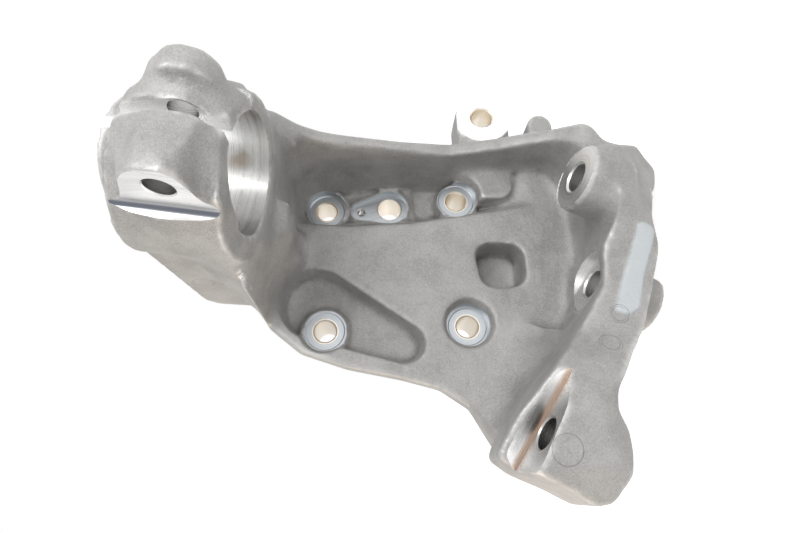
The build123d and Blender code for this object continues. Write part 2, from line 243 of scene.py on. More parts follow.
class Cutter:
    """Builders of closed meshes in a datum's own millimetres."""

    SEGMENTS = 96

    @staticmethod
    def lathe(
        name: str,
        datum: Datum,
        profile: list[Flat],
        at: Flat = (0.0, 0.0),
        segments: int = SEGMENTS,
    ) -> bpy.types.Mesh:
        """Solid of revolution: each profile point (r, z) becomes a circle of radius r.

        Args:
            name: mesh name.
            datum: frame the profile is drawn in.
            profile: (radius, height) points from the lower pole to the upper pole.
            at: place of the axis in the datum's plane.
            segments: number of flats round the axis.

        Returns:
            A mesh with outward normals.
        """
        ring = np.array([(r, z) for r, z in profile if r > 0], float)
        turn = np.linspace(0, 2 * math.pi, segments, endpoint=False)
        circle = np.stack([np.cos(turn), np.sin(turn)], 1)
        flat = (ring[:, 0, None, None] * circle + at).reshape(-1, 2)
        poles = [[*at, profile[0][1]], [*at, profile[-1][1]]]
        verts = np.vstack([np.column_stack([flat, np.repeat(ring[:, 1], segments)]), poles])
        here = np.arange(segments)
        there = (here + 1) % segments
        top, south, north = (len(ring) - 1) * segments, len(flat), len(flat) + 1
        faces = Cutter.bands(len(ring), segments)
        faces += np.stack([np.full(segments, south), there, here], 1).tolist()
        faces += np.stack([np.full(segments, north), top + here, top + there], 1).tolist()
        return Cutter.mesh(name, datum, verts, faces)

    @staticmethod
    def pin(datum: Datum, radius: float, low: float, high: float,
            at: Flat = (0.0, 0.0)) -> bpy.types.Mesh:
        """Plain cylinder that fills a hole, from its low to its high end."""
        profile = [(0, low), (radius, low), (radius, high), (0, high)]
        return Cutter.lathe("plug", datum, profile, at)

    @staticmethod
    def prism(
        name: str, datum: Datum, outline: np.ndarray, low: float, high: float
    ) -> bpy.types.Mesh:
        """Straight prism of a counter-clockwise outline along the datum's normal.

        Args:
            name: mesh name.
            datum: frame the outline is drawn in.
            outline: (n, 2) corner points.
            low: height of the lower end.
            high: height of the upper end.

        Returns:
            A mesh with outward normals.
        """
        flat = np.asarray(outline, float)
        n = len(flat)
        verts = np.vstack([np.column_stack([flat, np.full(n, z)]) for z in (low, high)])
        return Cutter.mesh(name, datum, verts, Cutter.bands(2, n) + Cutter.caps(2, n))

    @staticmethod
    def bands(rings: int, count: int) -> list[list[int]]:
        """Four-sided faces between each ring of points and the next.

        Args:
            rings: number of rings.
            count: points in a ring.

        Returns:
            Vertex numbers of the faces, ring by ring.
        """
        here = np.arange(count)
        there = (here + 1) % count
        low = np.arange(rings - 1)[:, None] * count
        high = low + count
        quads = np.stack([low + here, low + there, high + there, high + here], 2)
        return quads.reshape(-1, 4).tolist()

    @staticmethod
    def caps(rings: int, count: int) -> list[list[int]]:
        """Faces that close the first and the last ring of points."""
        last = (rings - 1) * count
        return [list(range(count - 1, -1, -1)), list(range(last, last + count))]

    @staticmethod
    def rounded(
        width: float,
        height: float,
        radius: float,
        centre: Flat = (0.0, 0.0),
        steps: int = 8,
    ) -> np.ndarray:
        """Counter-clockwise outline of a rectangle with round corners.

        Args:
            width: size along the first axis.
            height: size along the second axis.
            radius: corner radius.
            centre: middle of the rectangle.
            steps: points in each corner arc.

        Returns:
            (n, 2) outline.
        """
        turn = np.linspace(0, math.pi / 2, steps)
        points = []
        for k, (sx, sy) in enumerate(((1, 1), (-1, 1), (-1, -1), (1, -1))):
            middle = np.array(
                [sx * (width / 2 - radius) + centre[0], sy * (height / 2 - radius) + centre[1]]
            )
            arc = turn + k * math.pi / 2
            points.append(middle + radius * np.stack([np.cos(arc), np.sin(arc)], 1))
        return np.vstack(points)

    @staticmethod
    def hull(circles: tuple[Point, ...], steps: int = 48) -> np.ndarray:
        """Counter-clockwise outline round circles, from where neighbour tangents meet.

        Args:
            circles: (x, y, radius) of each circle.
            steps: half the number of tangents.

        Returns:
            (n, 2) outline.
        """
        turn = np.linspace(0, 2 * math.pi, steps * 2, endpoint=False)
        unit = np.stack([np.cos(turn), np.sin(turn)], 1)
        reach = np.max([unit @ np.array(c[:2]) + c[2] for c in circles], 0)
        following, step = np.roll(reach, -1), math.pi / steps
        slope = (following - reach * math.cos(step)) / math.sin(step)
        normal = np.stack([-unit[:, 1], unit[:, 0]], 1)
        return unit * reach[:, None] + normal * slope[:, None]

    @staticmethod
    def mesh(name: str, datum: Datum, verts: np.ndarray, faces: list) -> bpy.types.Mesh:
        """Mesh placed in the vehicle frame.

        Args:
            name: mesh name.
            datum: frame of the points.
            verts: (n, 3) points in the datum's millimetres.
            faces: vertex numbers of each face.

        Returns:
            The placed mesh.
        """
        data = bpy.data.meshes.new(name)
        data.from_pydata(np.asarray(verts, float).tolist(), [], faces)
        data.transform(datum.matrix())
        return data


class Skin:
    """Surface work on whole vertex arrays."""

    @staticmethod
    def read(items: bpy.types.bpy_prop_collection, name: str, width: int = 1,
             kind: type = np.float64) -> np.ndarray:
        """One value of every item of a mesh's collection, read as a whole array.

        Args:
            items: vertices, edges, corners or faces of a mesh.
            name: name of the value.
            width: numbers in each value.
            kind: number type of the array.

        Returns:
            (n,) array, or (n, width) where the values are wider than one number.
        """
        out = np.empty(len(items) * width, kind)
        items.foreach_get(name, out)
        return out.reshape(-1, width) if width > 1 else out

    @staticmethod
    def coordinates(mesh: bpy.types.Mesh) -> np.ndarray:
        """Vertex positions of a mesh as an (n, 3) array."""
        return Skin.read(mesh.vertices, "co", 3)

    @staticmethod
    def normals(mesh: bpy.types.Mesh) -> np.ndarray:
        """Vertex normals of a mesh as an (n, 3) array."""
        return Skin.read(mesh.vertex_normals, "vector", 3)

    @staticmethod
    def edges(mesh: bpy.types.Mesh) -> np.ndarray:
        """Vertex pairs of every edge."""
        return Skin.read(mesh.edges, "vertices", 2, np.int32)

    @staticmethod
    def faces(mesh: bpy.types.Mesh, start: int = 0) -> list[list[int]]:
        """Vertex numbers of every face.

        Args:
            mesh: mesh to read.
            start: number of its first vertex.

        Returns:
            One list a face.
        """
        corners = Skin.read(mesh.loops, "vertex_index", kind=np.int32) + start
        sizes = Skin.read(mesh.polygons, "loop_total", kind=np.int32)
        return [face.tolist() for face in np.split(corners, np.cumsum(sizes)[:-1])]

    @staticmethod
    def step(values: np.ndarray) -> np.ndarray:
        """Smooth step t * t * (3 - 2 t) of values kept from 0 to 1."""
        t = np.clip(values, 0, 1)
        return t * t * (3 - 2 * t)

    @staticmethod
    def store(mesh: bpy.types.Mesh, co: np.ndarray) -> None:
        """Write vertex positions back into a mesh."""
        mesh.vertices.foreach_set("co", co.ravel())
        mesh.update()

    @staticmethod
    def spread(values: np.ndarray, pairs: np.ndarray, rounds: int) -> np.ndarray:
        """Average each vertex value with its neighbours' mean, half and half.

        Args:
            values: one number a vertex.
            pairs: vertex pairs of every edge.
            rounds: number of passes.

        Returns:
            The softened values.
        """
        a, b = pairs.T
        n = len(values)
        count = np.maximum(np.bincount(a, minlength=n) + np.bincount(b, minlength=n), 1)
        for _ in range(rounds):
            total = np.bincount(a, values[b], n) + np.bincount(b, values[a], n)
            values = 0.5 * values + 0.5 * total / count
        return values

    @staticmethod
    def relax(mesh: bpy.types.Mesh, rounds: int, fill: float, wear: float) -> None:
        """Round the skin as foundry sand does: hollows fill faster than edges wear.

        Each vertex moves towards the mean of its neighbours. The move is scaled by fill
        where it points out of the metal and by wear where it points into it.

        Args:
            mesh: mesh to smooth in place.
            rounds: number of passes.
            fill: share of the move in hollows.
            wear: share of the move on outer edges.
        """
        co, (a, b) = Skin.coordinates(mesh), Skin.edges(mesh).T
        n = len(co)
        count = np.bincount(a, minlength=n) + np.bincount(b, minlength=n)
        normal = Skin.normals(mesh)
        for k in range(rounds):
            if k % 4 == 3:
                Skin.store(mesh, co)
                normal = Skin.normals(mesh)
            total = np.stack([
                np.bincount(a, co[b, i], n) + np.bincount(b, co[a, i], n) for i in range(3)
            ], 1)
            move = total / count[:, None] - co
            out = np.einsum("ij,ij->i", move, normal) > 0
            co += move * np.where(out, fill, wear)[:, None]
        Skin.store(mesh, co)

    @staticmethod
    def curvature(mesh: bpy.types.Mesh) -> np.ndarray:
        """Bend of the skin: mean over the edges of (dn . dp) / |dp| squared, softened.

        Args:
            mesh: mesh to measure.

        Returns:
            One value a vertex in 1/mm, positive on outer edges, negative in hollows.
        """
        co, normal, pairs = Skin.coordinates(mesh), Skin.normals(mesh), Skin.edges(mesh)
        a, b = pairs.T
        n = len(co)
        dp, dn = (co[b] - co[a]) / MM, normal[b] - normal[a]
        bend = np.einsum("ij,ij->i", dp, dn) / np.maximum(np.einsum("ij,ij->i", dp, dp), 0.09)
        total = np.bincount(a, bend, n) + np.bincount(b, bend, n)
        count = np.maximum(np.bincount(a, minlength=n) + np.bincount(b, minlength=n), 1)
        return Skin.spread(total / count, pairs, 5)


@dataclass(frozen=True)
class Allowance:
    """Extra metal left on a face of the casting that is machined later."""

    datum: Datum
    half: Flat
    round: bool = True
    at: Flat = (0.0, 0.0)
    turn: float = 0.0
    height: float = 1.4
    band: float = 2.0
    soft: float = 2.6

    def raise_face(self, mesh: bpy.types.Mesh) -> None:
        """Lift the vertices of the face along the datum's normal by the height.

        The lift fades smoothly over the soft distance outside the face's outline, over
        the band away from its plane, and where the skin's normal leans away from it.

        Args:
            mesh: raw casting to change in place.
        """
        co = Skin.coordinates(mesh)
        near = self.datum.local(co)
        c, s = math.cos(self.turn), math.sin(self.turn)
        x, y = near[:, 0] - self.at[0], near[:, 1] - self.at[1]
        u, v = abs(c * x + s * y) - self.half[0], abs(c * y - s * x) - self.half[1]
        outside = np.maximum(u, v)
        if self.round:
            outside = np.hypot(x, y) - self.half[0]
        axis = np.array(heading(self.datum.normal))
        facing = Skin.normals(mesh) @ axis
        weight = Skin.step(1 - outside / self.soft) * Skin.step((facing - 0.15) / 0.5)
        weight *= Skin.step(2 - abs(near[:, 2]) / self.band)
        co += weight[:, None] * axis * self.height * MM
        Skin.store(mesh, co)


class Zone:
    """One machined area of the casting."""

    def plugs(self) -> list[bpy.types.Mesh]:
        """Metal that closes the area's holes in the raw casting."""
        return []

    def allowances(self) -> list[Allowance]:
        """Faces of the area that carry extra metal."""
        return []

    def machine(self, shop: Machining) -> None:
        """Cut the area's holes and faces."""


@dataclass
class HubSeat(Zone):
    """Bearing side, the four bolt holes with their pads, and the speed sensor seat."""

    half_spacing: float = 43.0
    bolt: float = 6.5
    pad: float = 13.2
    pad_step: float = 0.45
    height: float = 32.0
    low_height: float = 21.0
    chamfer: float = 0.8
    seat: float = 76.0
    spigot: float = 48.0
    spigot_depth: float = 9.0
    core: float = 22.0
    core_depth: float = 18.0
    core_middle: Flat = (4.0, -2.0)
    sensor: Flat = (-1.0, 43.0)
    sensor_bore: float = 7.75
    sensor_lobe: float = 12.2
    sensor_level: float = 23.0
    screw: Flat = (-20.0, 41.0)
    screw_bore: float = 2.5
    screw_lobe: float = 6.7
    screw_depth: float = 12.0

    def bolts(self) -> list[Point]:
        """Place and pad level of every bolt hole.

        Returns:
            (down, rear, level) of the four holes.
        """
        h = self.half_spacing
        return [
            (-h, h, self.low_height), (h, h, self.height),
            (-h, -h, self.height), (h, -h, self.height),
        ]

    def at(self, place: Flat) -> Flat:
        """Casting (down, rear) turned into the hub datum's plane."""
        return (place[0], self.side() * place[1])

    @staticmethod
    def side() -> float:
        """Sense of the hub datum's second axis against the rear direction."""
        return HUB.sense((0.0, 1.0, 0.0))

    def plugs(self) -> list[bpy.types.Mesh]:
        """Metal in the bolt holes, the sensor holes and the core.

        Returns:
            Closed plugs, a little wider than their holes.
        """
        top = self.sensor_level
        return [Cutter.pin(HUB, 8, 2, z, self.at((x, y))) for x, y, z in self.bolts()] + [
            Cutter.pin(HUB, 9, 2, top, self.at(self.sensor)),
            Cutter.pin(HUB, 4, 9, top, self.at(self.screw)),
            Cutter.pin(HUB, self.core + 1, 7, self.core_depth + 1.5,
                       self.at(self.core_middle)),
        ]

    def allowances(self) -> list[Allowance]:
        """Pads, bearing face and sensor seat.

        Returns:
            One allowance a face.
        """
        pads = [
            Allowance(Datum((x, y, z), (0, 0, 1)), (self.pad + 0.6,) * 2, height=1.5)
            for x, y, z in self.bolts()
        ]
        away = Datum((0.0, 0.0, 0.0), (0.0, 0.0, -1.0))
        seat = Datum((-9.0, 42.2, self.sensor_level), (0, 0, 1), (-1.0, -0.1, 0.0))
        return pads + [
            Allowance(away, (self.seat + 2,) * 2, height=1.6, band=2.5),
            Allowance(seat, (23.0, 13.0), False, height=1.2),
        ]

    def bolt_profile(self, level: float) -> list[Flat]:
        """Section of a bolt hole with its stepped spot face.

        Args:
            level: height of the pad.

        Returns:
            (radius, height) points from the bearing side inboard.
        """
        r, pad, c, rim = self.bolt, self.pad, self.chamfer, level + self.pad_step
        return [
            (0, -2), (r + c, -2), (r, c), (r, level - c), (r + c, level),
            (pad - 1.9, level), (pad - 1.3, rim), (pad, rim),
            (pad, level + 1.4), (pad + 0.5, level + 30), (0, level + 30),
        ]

    def machine(self, shop: Machining) -> None:
        """Face the bearing side, then bore the holes and face the pads.

        Args:
            shop: machine shop that holds the piece.
        """
        face = [(0, -8), (self.seat + 8, -8), (self.seat + 8, 0), (0, 0)]
        shop.cut(Cutter.lathe("bearing_face", HUB, face, segments=160), HUB)
        for k, (x, y, level) in enumerate(self.bolts()):
            datum = Datum((x, y, 0.0), (0.0, 0.0, 1.0))
            # The 1.0 asks for painted warm light on the bolt hole's wall.
            shop.cut(Cutter.lathe(f"bolt_{k}", datum, self.bolt_profile(level)), datum,
                     Surface.SPOT_FACED, 1.0)
        self.machine_sensor(shop)
        r, depth = self.core, self.core_depth
        core = [(0, -4), (r, -4), (r, depth - 1.2), (r - 1.2, depth), (0, depth)]
        shop.cut(Cutter.lathe("core", HUB, core, self.at(self.core_middle)), HUB,
                 Surface.CAST)
        r, depth = self.spigot, self.spigot_depth
        spigot = [(0, -2), (r + 1, -2), (r + 1, -0.01), (r, 1.0), (r, depth), (0, depth)]
        shop.cut(Cutter.lathe("spigot", HUB, spigot), HUB)

    def machine_sensor(self, shop: Machining) -> None:
        """Face the drop-shaped sensor seat, then bore the sensor and screw holes.

        Args:
            shop: machine shop that holds the piece.
        """
        level, r = self.sensor_level, self.sensor_bore
        seat = Cutter.hull(((*self.at(self.sensor), self.sensor_lobe),
                            (*self.at(self.screw), self.screw_lobe)))
        shop.cut(Cutter.prism("sensor_seat", HUB, seat, level, level + 11), HUB,
                 Surface.SPOT_FACED)
        bore = [(0, -2), (r, -2), (r, level - 0.6), (r + 0.65, level + 0.05),
                (r + 0.65, level + 7), (0, level + 7)]
        middle = Datum((*self.sensor, 0.0), (0.0, 0.0, 1.0))
        # The 1.0 asks for painted warm light on the sensor bore's wall.
        shop.cut(Cutter.lathe("sensor_bore", middle, bore), middle, Surface.SPOT_FACED, 1.0)
        r, end = self.screw_bore, level - self.screw_depth
        screw = [(0, end), (r, end + 1.2), (r, level - 0.4), (r + 0.5, level + 0.05),
                 (r + 0.5, level + 7), (0, level + 7)]
        middle = Datum((*self.screw, 0.0), (0.0, 0.0, 1.0))
        shop.cut(Cutter.lathe("sensor_screw", middle, screw, segments=48), middle)


@dataclass
class BallJoints(Zone):
    """Spot faces and stud holes of the two lower ball joints."""

    stud: float = 8.0
    spot: float = 18.0
    length: float = 75.0
    upper_depth: float = 44.0
    middle_depth: float = 32.0

    def plugs(self) -> list[bpy.types.Mesh]:
        """Metal in the two stud holes.

        Returns:
            Closed plugs, a little wider than their holes.
        """
        r = self.stud + 1.2
        return [
            Cutter.pin(UPPER, r, -self.upper_depth, 0),
            Cutter.pin(MIDDLE, r, -self.middle_depth, 0),
        ]

    def allowances(self) -> list[Allowance]:
        """The two spot faces."""
        return [Allowance(d, (self.spot + 0.6,) * 2, height=1.1) for d in (UPPER, MIDDLE)]

    def machine(self, shop: Machining) -> None:
        """Sink each spot face with its stud hole.

        Args:
            shop: machine shop that holds the piece.
        """
        r, spot = self.stud, self.spot
        profile = [(0, -self.length), (r, -self.length), (r, -1.0), (r + 1, 0),
                   (spot, 0), (spot, 20), (0, 20)]
        for name, datum in (("upper", UPPER), ("middle", MIDDLE)):
            shop.cut(Cutter.lathe(name, datum, profile), datum)


@dataclass
class TieRodSeat(Zone):
    """Milled step and stud hole of the tie rod."""

    stud: float = 7.5
    depth: float = 38.0
    step: Flat = (90.0, 60.0)
    corner: float = 3.0
    shift: float = 20.0
    turn: float = math.radians(-24.0)

    def plugs(self) -> list[bpy.types.Mesh]:
        """Metal in the stud hole."""
        return [Cutter.pin(TIE, self.stud + 1.2, -self.depth, 0)]

    def allowances(self) -> list[Allowance]:
        """The milled floor of the step.

        Returns:
            One allowance, turned as the step is.
        """
        c, s = math.cos(self.turn), math.sin(self.turn)
        at = (-s * self.shift, c * self.shift)
        half = (self.step[0] / 2 - 0.5, self.step[1] / 2 - 0.5)
        return [Allowance(TIE, half, False, at, self.turn, 1.3, 2.2)]

    def machine(self, shop: Machining) -> None:
        """Mill the step, then bore the hole.

        Args:
            shop: machine shop that holds the piece.
        """
        step = Cutter.rounded(*self.step, self.corner)
        c, s = math.cos(self.turn), math.sin(self.turn)
        step = (step + (0.0, self.shift)) @ np.array([[c, s], [-s, c]])
        shop.cut(Cutter.prism("tie_step", TIE, step, 0, 30), TIE)
        r = self.stud
        hole = [(0, -75), (r, -75), (r, -0.8), (r + 0.8, 0.02), (r + 0.8, 5), (0, 5)]
        shop.cut(Cutter.lathe("tie_hole", TIE, hole), TIE)


@dataclass
class StrutClamp(Zone):
    """Strut bore, slot, pinch bolt hole and the milled step under the bolt head."""

    bore: float = 28.0
    barrel: float = 37.2
    barrel_shift: float = -3.5
    slot: float = 6.0
    slot_length: float = 68.0
    slot_middle: Point = (-24.0, 0.0, 48.0)
    pinch: float = 6.1
    pinch_middle: Point = (-21.0, 0.0, 38.0)
    face: float = -32.0
    corner: Point = (-39.5, 0.0, 30.0)
    window: float = 30.0
    window_middle: Flat = (-47.0, 37.0)
    window_reach: float = 29.0
    ear_side: tuple[Flat, ...] = (
        (-5.0, 18.0), (-8.0, 31.0), (-11.0, 40.0), (-16.0, 47.5), (-25.0, 47.5),
        (-31.0, 44.0), (-36.0, 37.0), (-38.5, 30.0), (-38.5, 18.0),
    )

    def plugs(self) -> list[bpy.types.Mesh]:
        """Metal in the bore, the slot and the pinch bolt hole, and on barrel and ear.

        Returns:
            Closed plugs.
        """
        strut = CLAMP.along_strut(0, 0, 0)
        barrel = CLAMP.along_strut(0, self.barrel_shift, 0)
        slot = CLAMP.facing_in(-27, 0, 26)
        pinch = CLAMP.along_pinch(*self.pinch_middle)
        corner = CLAMP.along_pinch(*self.corner)
        side = CLAMP.along_pinch(0, 0, 0)
        up = side.sense(CLAMP.point(0, 0, 1))
        ear = np.array(self.ear_side) * (1.0, up)
        if up < 0:
            ear = ear[::-1]
        return [
            Cutter.pin(strut, self.bore + 0.6, -57, -5),
            Cutter.prism("plug", slot, Cutter.rounded(35, self.slot + 1, 0.3), 0, 11),
            Cutter.pin(pinch, self.pinch + 1.2, -32, 24),
            Cutter.pin(barrel, self.barrel, -47, -4),
            Cutter.pin(corner, 6.5, -22, -3.2),
            Cutter.prism("plug", side, ear, self.face - 3.5, self.face + 4),
        ]

    def machine(self, shop: Machining) -> None:
        """Bore the strut seat, saw the slot, then bore and mill for the pinch bolt.

        Args:
            shop: machine shop that holds the piece.
        """
        strut = CLAMP.along_strut(0, 0, 0)
        r = self.bore
        bore = [(0, -100), (r, -100), (r, 14), (0, 14)]
        shop.cut(Cutter.lathe("strut_bore", strut, bore, segments=192), strut)
        slot = CLAMP.facing_in(*self.slot_middle)
        gap = Cutter.rounded(self.slot_length, self.slot, 0.3)
        shop.cut(Cutter.prism("slot", slot, gap, -48, 48), slot)
        middle = CLAMP.along_pinch(*self.pinch_middle)
        p, face = self.pinch, self.face
        hole = [(0, -60), (p + 1.2, -60), (p + 1.2, face - 0.8), (p, face + 0.6),
                (p, 60), (0, 60)]
        shop.cut(Cutter.lathe("pinch", middle, hole), middle)
        along = self.slot_middle[0]
        side = CLAMP.along_strut(along, 0, 0)
        across, up = self.window_middle
        up *= side.sense(CLAMP.point(along, 0, 1))
        window = Cutter.rounded(self.window, self.window, 3.0) + (across, up)
        back = tuple(-v for v in CLAMP.pinch_axis())
        mill = Datum(CLAMP.point(along, face, 0), back, CLAMP.strut_axis())
        shop.cut(Cutter.prism("step", side, window, -self.window_reach,
                              self.window_reach), mill)


@dataclass
class CaliperEars(Zone):
    """Faces and holes of the two caliper ears."""

    hole: float = 7.1
    face: float = 50.0
    half: float = 17.5
    places: tuple[Flat, ...] = ((62.5, 97.0), (-78.0, 79.0))

    def plugs(self) -> list[bpy.types.Mesh]:
        """Metal in the two holes.

        Returns:
            Closed plugs, a little wider than their holes.
        """
        side = HubSeat.side()
        return [
            Cutter.pin(HUB, self.hole + 1, 25, self.face, (x, side * y))
            for x, y in self.places
        ]

    def allowances(self) -> list[Allowance]:
        """The two inboard faces.

        Returns:
            One allowance a face.
        """
        return [
            Allowance(Datum((x, y, self.face), (0, 0, 1)), (self.half + 2,) * 2)
            for x, y in self.places
        ]

    def machine(self, shop: Machining) -> None:
        """Face each ear and bore it.

        Args:
            shop: machine shop that holds the piece.
        """
        r, top, edge = self.hole, self.face, self.half + 2.2
        hole = [(0, 10), (r, 10), (r, top - 0.8), (r + 0.8, top), (edge, top),
                (edge, top + 3), (0, top + 3)]
        for k, (x, y) in enumerate(self.places):
            datum = Datum((x, y, 0.0), (0.0, 0.0, 1.0))
            # warm=1.0 asks for painted warm light on the ear hole's wall.
            shop.cut(Cutter.lathe(f"caliper_{k}", datum, hole), datum, warm=1.0)


@dataclass
class NeckWeb(Zone):
    """Cast web that sweeps from the rear wall up to the clamp's barrel."""

    stations: tuple[float, ...] = (-84.0, -76.0, -67.0)
    rings: tuple[tuple[Flat, ...], ...] = (
        ((26, 125), (26, 152), (40, 151), (50, 142), (58, 131), (66, 117), (69, 108),
         (69, 44), (46, 44), (42, 100)),
        ((26, 122), (26, 150), (40, 148.5), (50, 135), (58, 121), (66, 109), (69, 101),
         (69, 44), (48, 44), (44, 98)),
        ((26, 118), (26, 144), (40, 140), (50, 124), (58, 110), (66, 97), (69, 91),
         (69, 44), (50, 44), (48, 92)),
    )
    wall_top: tuple[Flat, ...] = (
        (-68, 60), (-28, 56), (36, 50), (38, 60), (5, 66), (-28, 73), (-43, 78), (-54, 84.5),
        (-64, 94), (-68, 98.5),
    )
    corner_top: tuple[Flat, ...] = (
        (-69, 44), (-56, 44), (-56, 84), (-62, 94), (-69, 100),
    )
    wall: Flat = (62.0, 69.0)
    corner: Flat = (54.0, 66.0)

    def plugs(self) -> list[bpy.types.Mesh]:
        """The web as a loft through its cross-sections, and two slabs of raised wall.

        Returns:
            Closed meshes.
        """
        web = [[(p, q, h) for q, h in ring] for p, ring in zip(self.stations, self.rings)]
        return [
            self.loft(np.array(web, float)),
            self.slab(self.wall_top, *self.wall),
            self.slab(self.corner_top, *self.corner),
        ]

    @staticmethod
    def slab(outline: tuple[Flat, ...], front: float, rear: float) -> bpy.types.Mesh:
        """Slab of a (down, inboard) outline between two planes across the piece.

        Args:
            outline: corner points.
            front: rearward place of the front plane.
            rear: rearward place of the rear plane.

        Returns:
            A closed mesh.
        """
        side = np.array(outline, float)
        return NeckWeb.loft(np.stack([np.insert(side, 1, q, 1) for q in (front, rear)]))

    @staticmethod
    def loft(rings: np.ndarray) -> bpy.types.Mesh:
        """Closed skin through rings of points, its normals turned outwards.

        Args:
            rings: (k, n, 3) casting millimetres.

        Returns:
            A closed mesh in the vehicle frame.
        """
        shape = rings.shape[:2]
        data = bpy.data.meshes.new("web")
        data.from_pydata(rows(rings.reshape(-1, 3)).tolist(), [],
                         Cutter.bands(*shape) + Cutter.caps(*shape))
        work = bmesh.new()
        work.from_mesh(data)
        bmesh.ops.recalc_face_normals(work, faces=work.faces)
        work.to_mesh(data)
        work.free()
        return data


ZONES: tuple[type[Zone], ...] = (
    HubSeat, BallJoints, TieRodSeat, StrutClamp, CaliperEars, NeckWeb,
)


@dataclass(frozen=True)
class Mark:
    """A line of the casting's surface that carries its own look."""

    points: tuple[Point, ...]
    reach: float

    def weight(self, co: np.ndarray) -> np.ndarray:
        """Strength of the mark: 1 on the line, falling to 0 at its reach.

        Args:
            co: (n, 3) vehicle-frame positions in metres.

        Returns:
            One weight a vertex.
        """
        line = np.array([row(p) for p in self.points]) / MM
        best = np.full(len(co), math.inf)
        place = co / MM
        for a, b in zip(line[:-1], line[1:]):
            along = b - a
            t = np.clip((place - a) @ along / (along @ along), 0, 1)
            best = np.minimum(best, np.linalg.norm(place - a - t[:, None] * along, axis=1))
        return np.clip(1.6 * (1 - best / self.reach), 0, 1)


@dataclass(frozen=True)
class Strip:
    """The raised strip on the lower beam, left bare."""

    outline: tuple[Flat, ...] = (
        (126.5, -8.0), (135.5, -11.0), (127.5, -31.0), (118.5, -54.5), (111.0, -58.0),
        (106.0, -54.8), (117.0, -30.8),
    )
    lowest: float = 88.0
    height: float = 1.3

    def inside(self, co: np.ndarray) -> np.ndarray:
        """Vertices over the strip's outline, by the crossings of a ray to one side.

        Args:
            co: (n, 3) vehicle-frame positions in metres.

        Returns:
            A mask of the vertices within the outline and above its lowest level.
        """
        x, y = -co[:, 2] / MM, -co[:, 0] / MM
        hit = np.zeros(len(co), bool)
        corners = self.outline
        for (ax, ay), (bx, by) in zip(corners, corners[1:] + corners[:1]):
            crosses = (ay > y) != (by > y)
            hit ^= crosses & (x < (bx - ax) * (y - ay) / (by - ay + 1e-12) + ax)
        return hit & (co[:, 1] / MM > self.lowest)

    def emboss(self, mesh: bpy.types.Mesh) -> None:
        """Raise the strip above the beam, with a soft flank.

        Args:
            mesh: raw casting to change in place.
        """
        co = Skin.coordinates(mesh)
        chosen = self.inside(co) & (Skin.normals(mesh)[:, 1] > 0.2)
        weight = Skin.spread(chosen.astype(float), Skin.edges(mesh), 4)
        co[:, 1] += Skin.step((weight - 0.2) / 0.6) * self.height * MM
        Skin.store(mesh, co)


@dataclass
class Casting:
    """The raw casting: the construction solid with its machining filled in again."""

    node: str
    voxel: float = 0.0011
    triangles: int = 150000
    rounds: int = 20
    fill: float = 0.75
    wear: float = 0.20
    late_wear: float = 0.05
    plugs: list[bpy.types.Mesh] = field(default_factory=list)
    allowances: list[Allowance] = field(default_factory=list)
    strip: Strip = Strip()

    def build(self, source: bpy.types.Object) -> bpy.types.Object:
        """Rounded skin of the raw casting.

        Args:
            source: object of the construction model.

        Returns:
            A new object with a closed skin.
        """
        verts, faces, start = [], [], 0
        for part in [source.data] + self.plugs:
            verts.append(Skin.coordinates(part))
            faces += Skin.faces(part, start)
            start += len(part.vertices)
        data = bpy.data.meshes.new(self.node + "_stock")
        data.from_pydata(np.vstack(verts).tolist(), [], faces)
        piece = bpy.data.objects.new(self.node + "_look", data)
        bpy.context.scene.collection.objects.link(piece)
        remesh = piece.modifiers.new("skin", "REMESH")
        remesh.mode = "VOXEL"
        remesh.voxel_size = self.voxel
        apply(piece)
        Skin.relax(piece.data, self.rounds, self.fill, self.wear)
        Skin.relax(piece.data, 2 * self.rounds, self.fill, self.late_wear)
        self.strip.emboss(piece.data)
        for allowance in self.allowances:
            allowance.raise_face(piece.data)
        thin = piece.modifiers.new("thin", "DECIMATE")
        thin.ratio = min(1.0, self.triangles / (2 * len(piece.data.polygons)))
        thin.use_collapse_triangulate = True
        apply(piece)
        LOG.info("raw casting: %d triangles", len(piece.data.polygons))
        return piece


def apply(piece: bpy.types.Object) -> None:
    """Replace the object's mesh with the result of its modifiers.

    Args:
        piece: object to change.
    """
    graph = bpy.context.evaluated_depsgraph_get()
    data = bpy.data.meshes.new_from_object(piece.evaluated_get(graph))
    piece.modifiers.clear()
    piece.data = data


class Surface(Enum):
    """Material slots of the piece."""

    CAST = 0
    MILLED = 1
    SPOT_FACED = 2


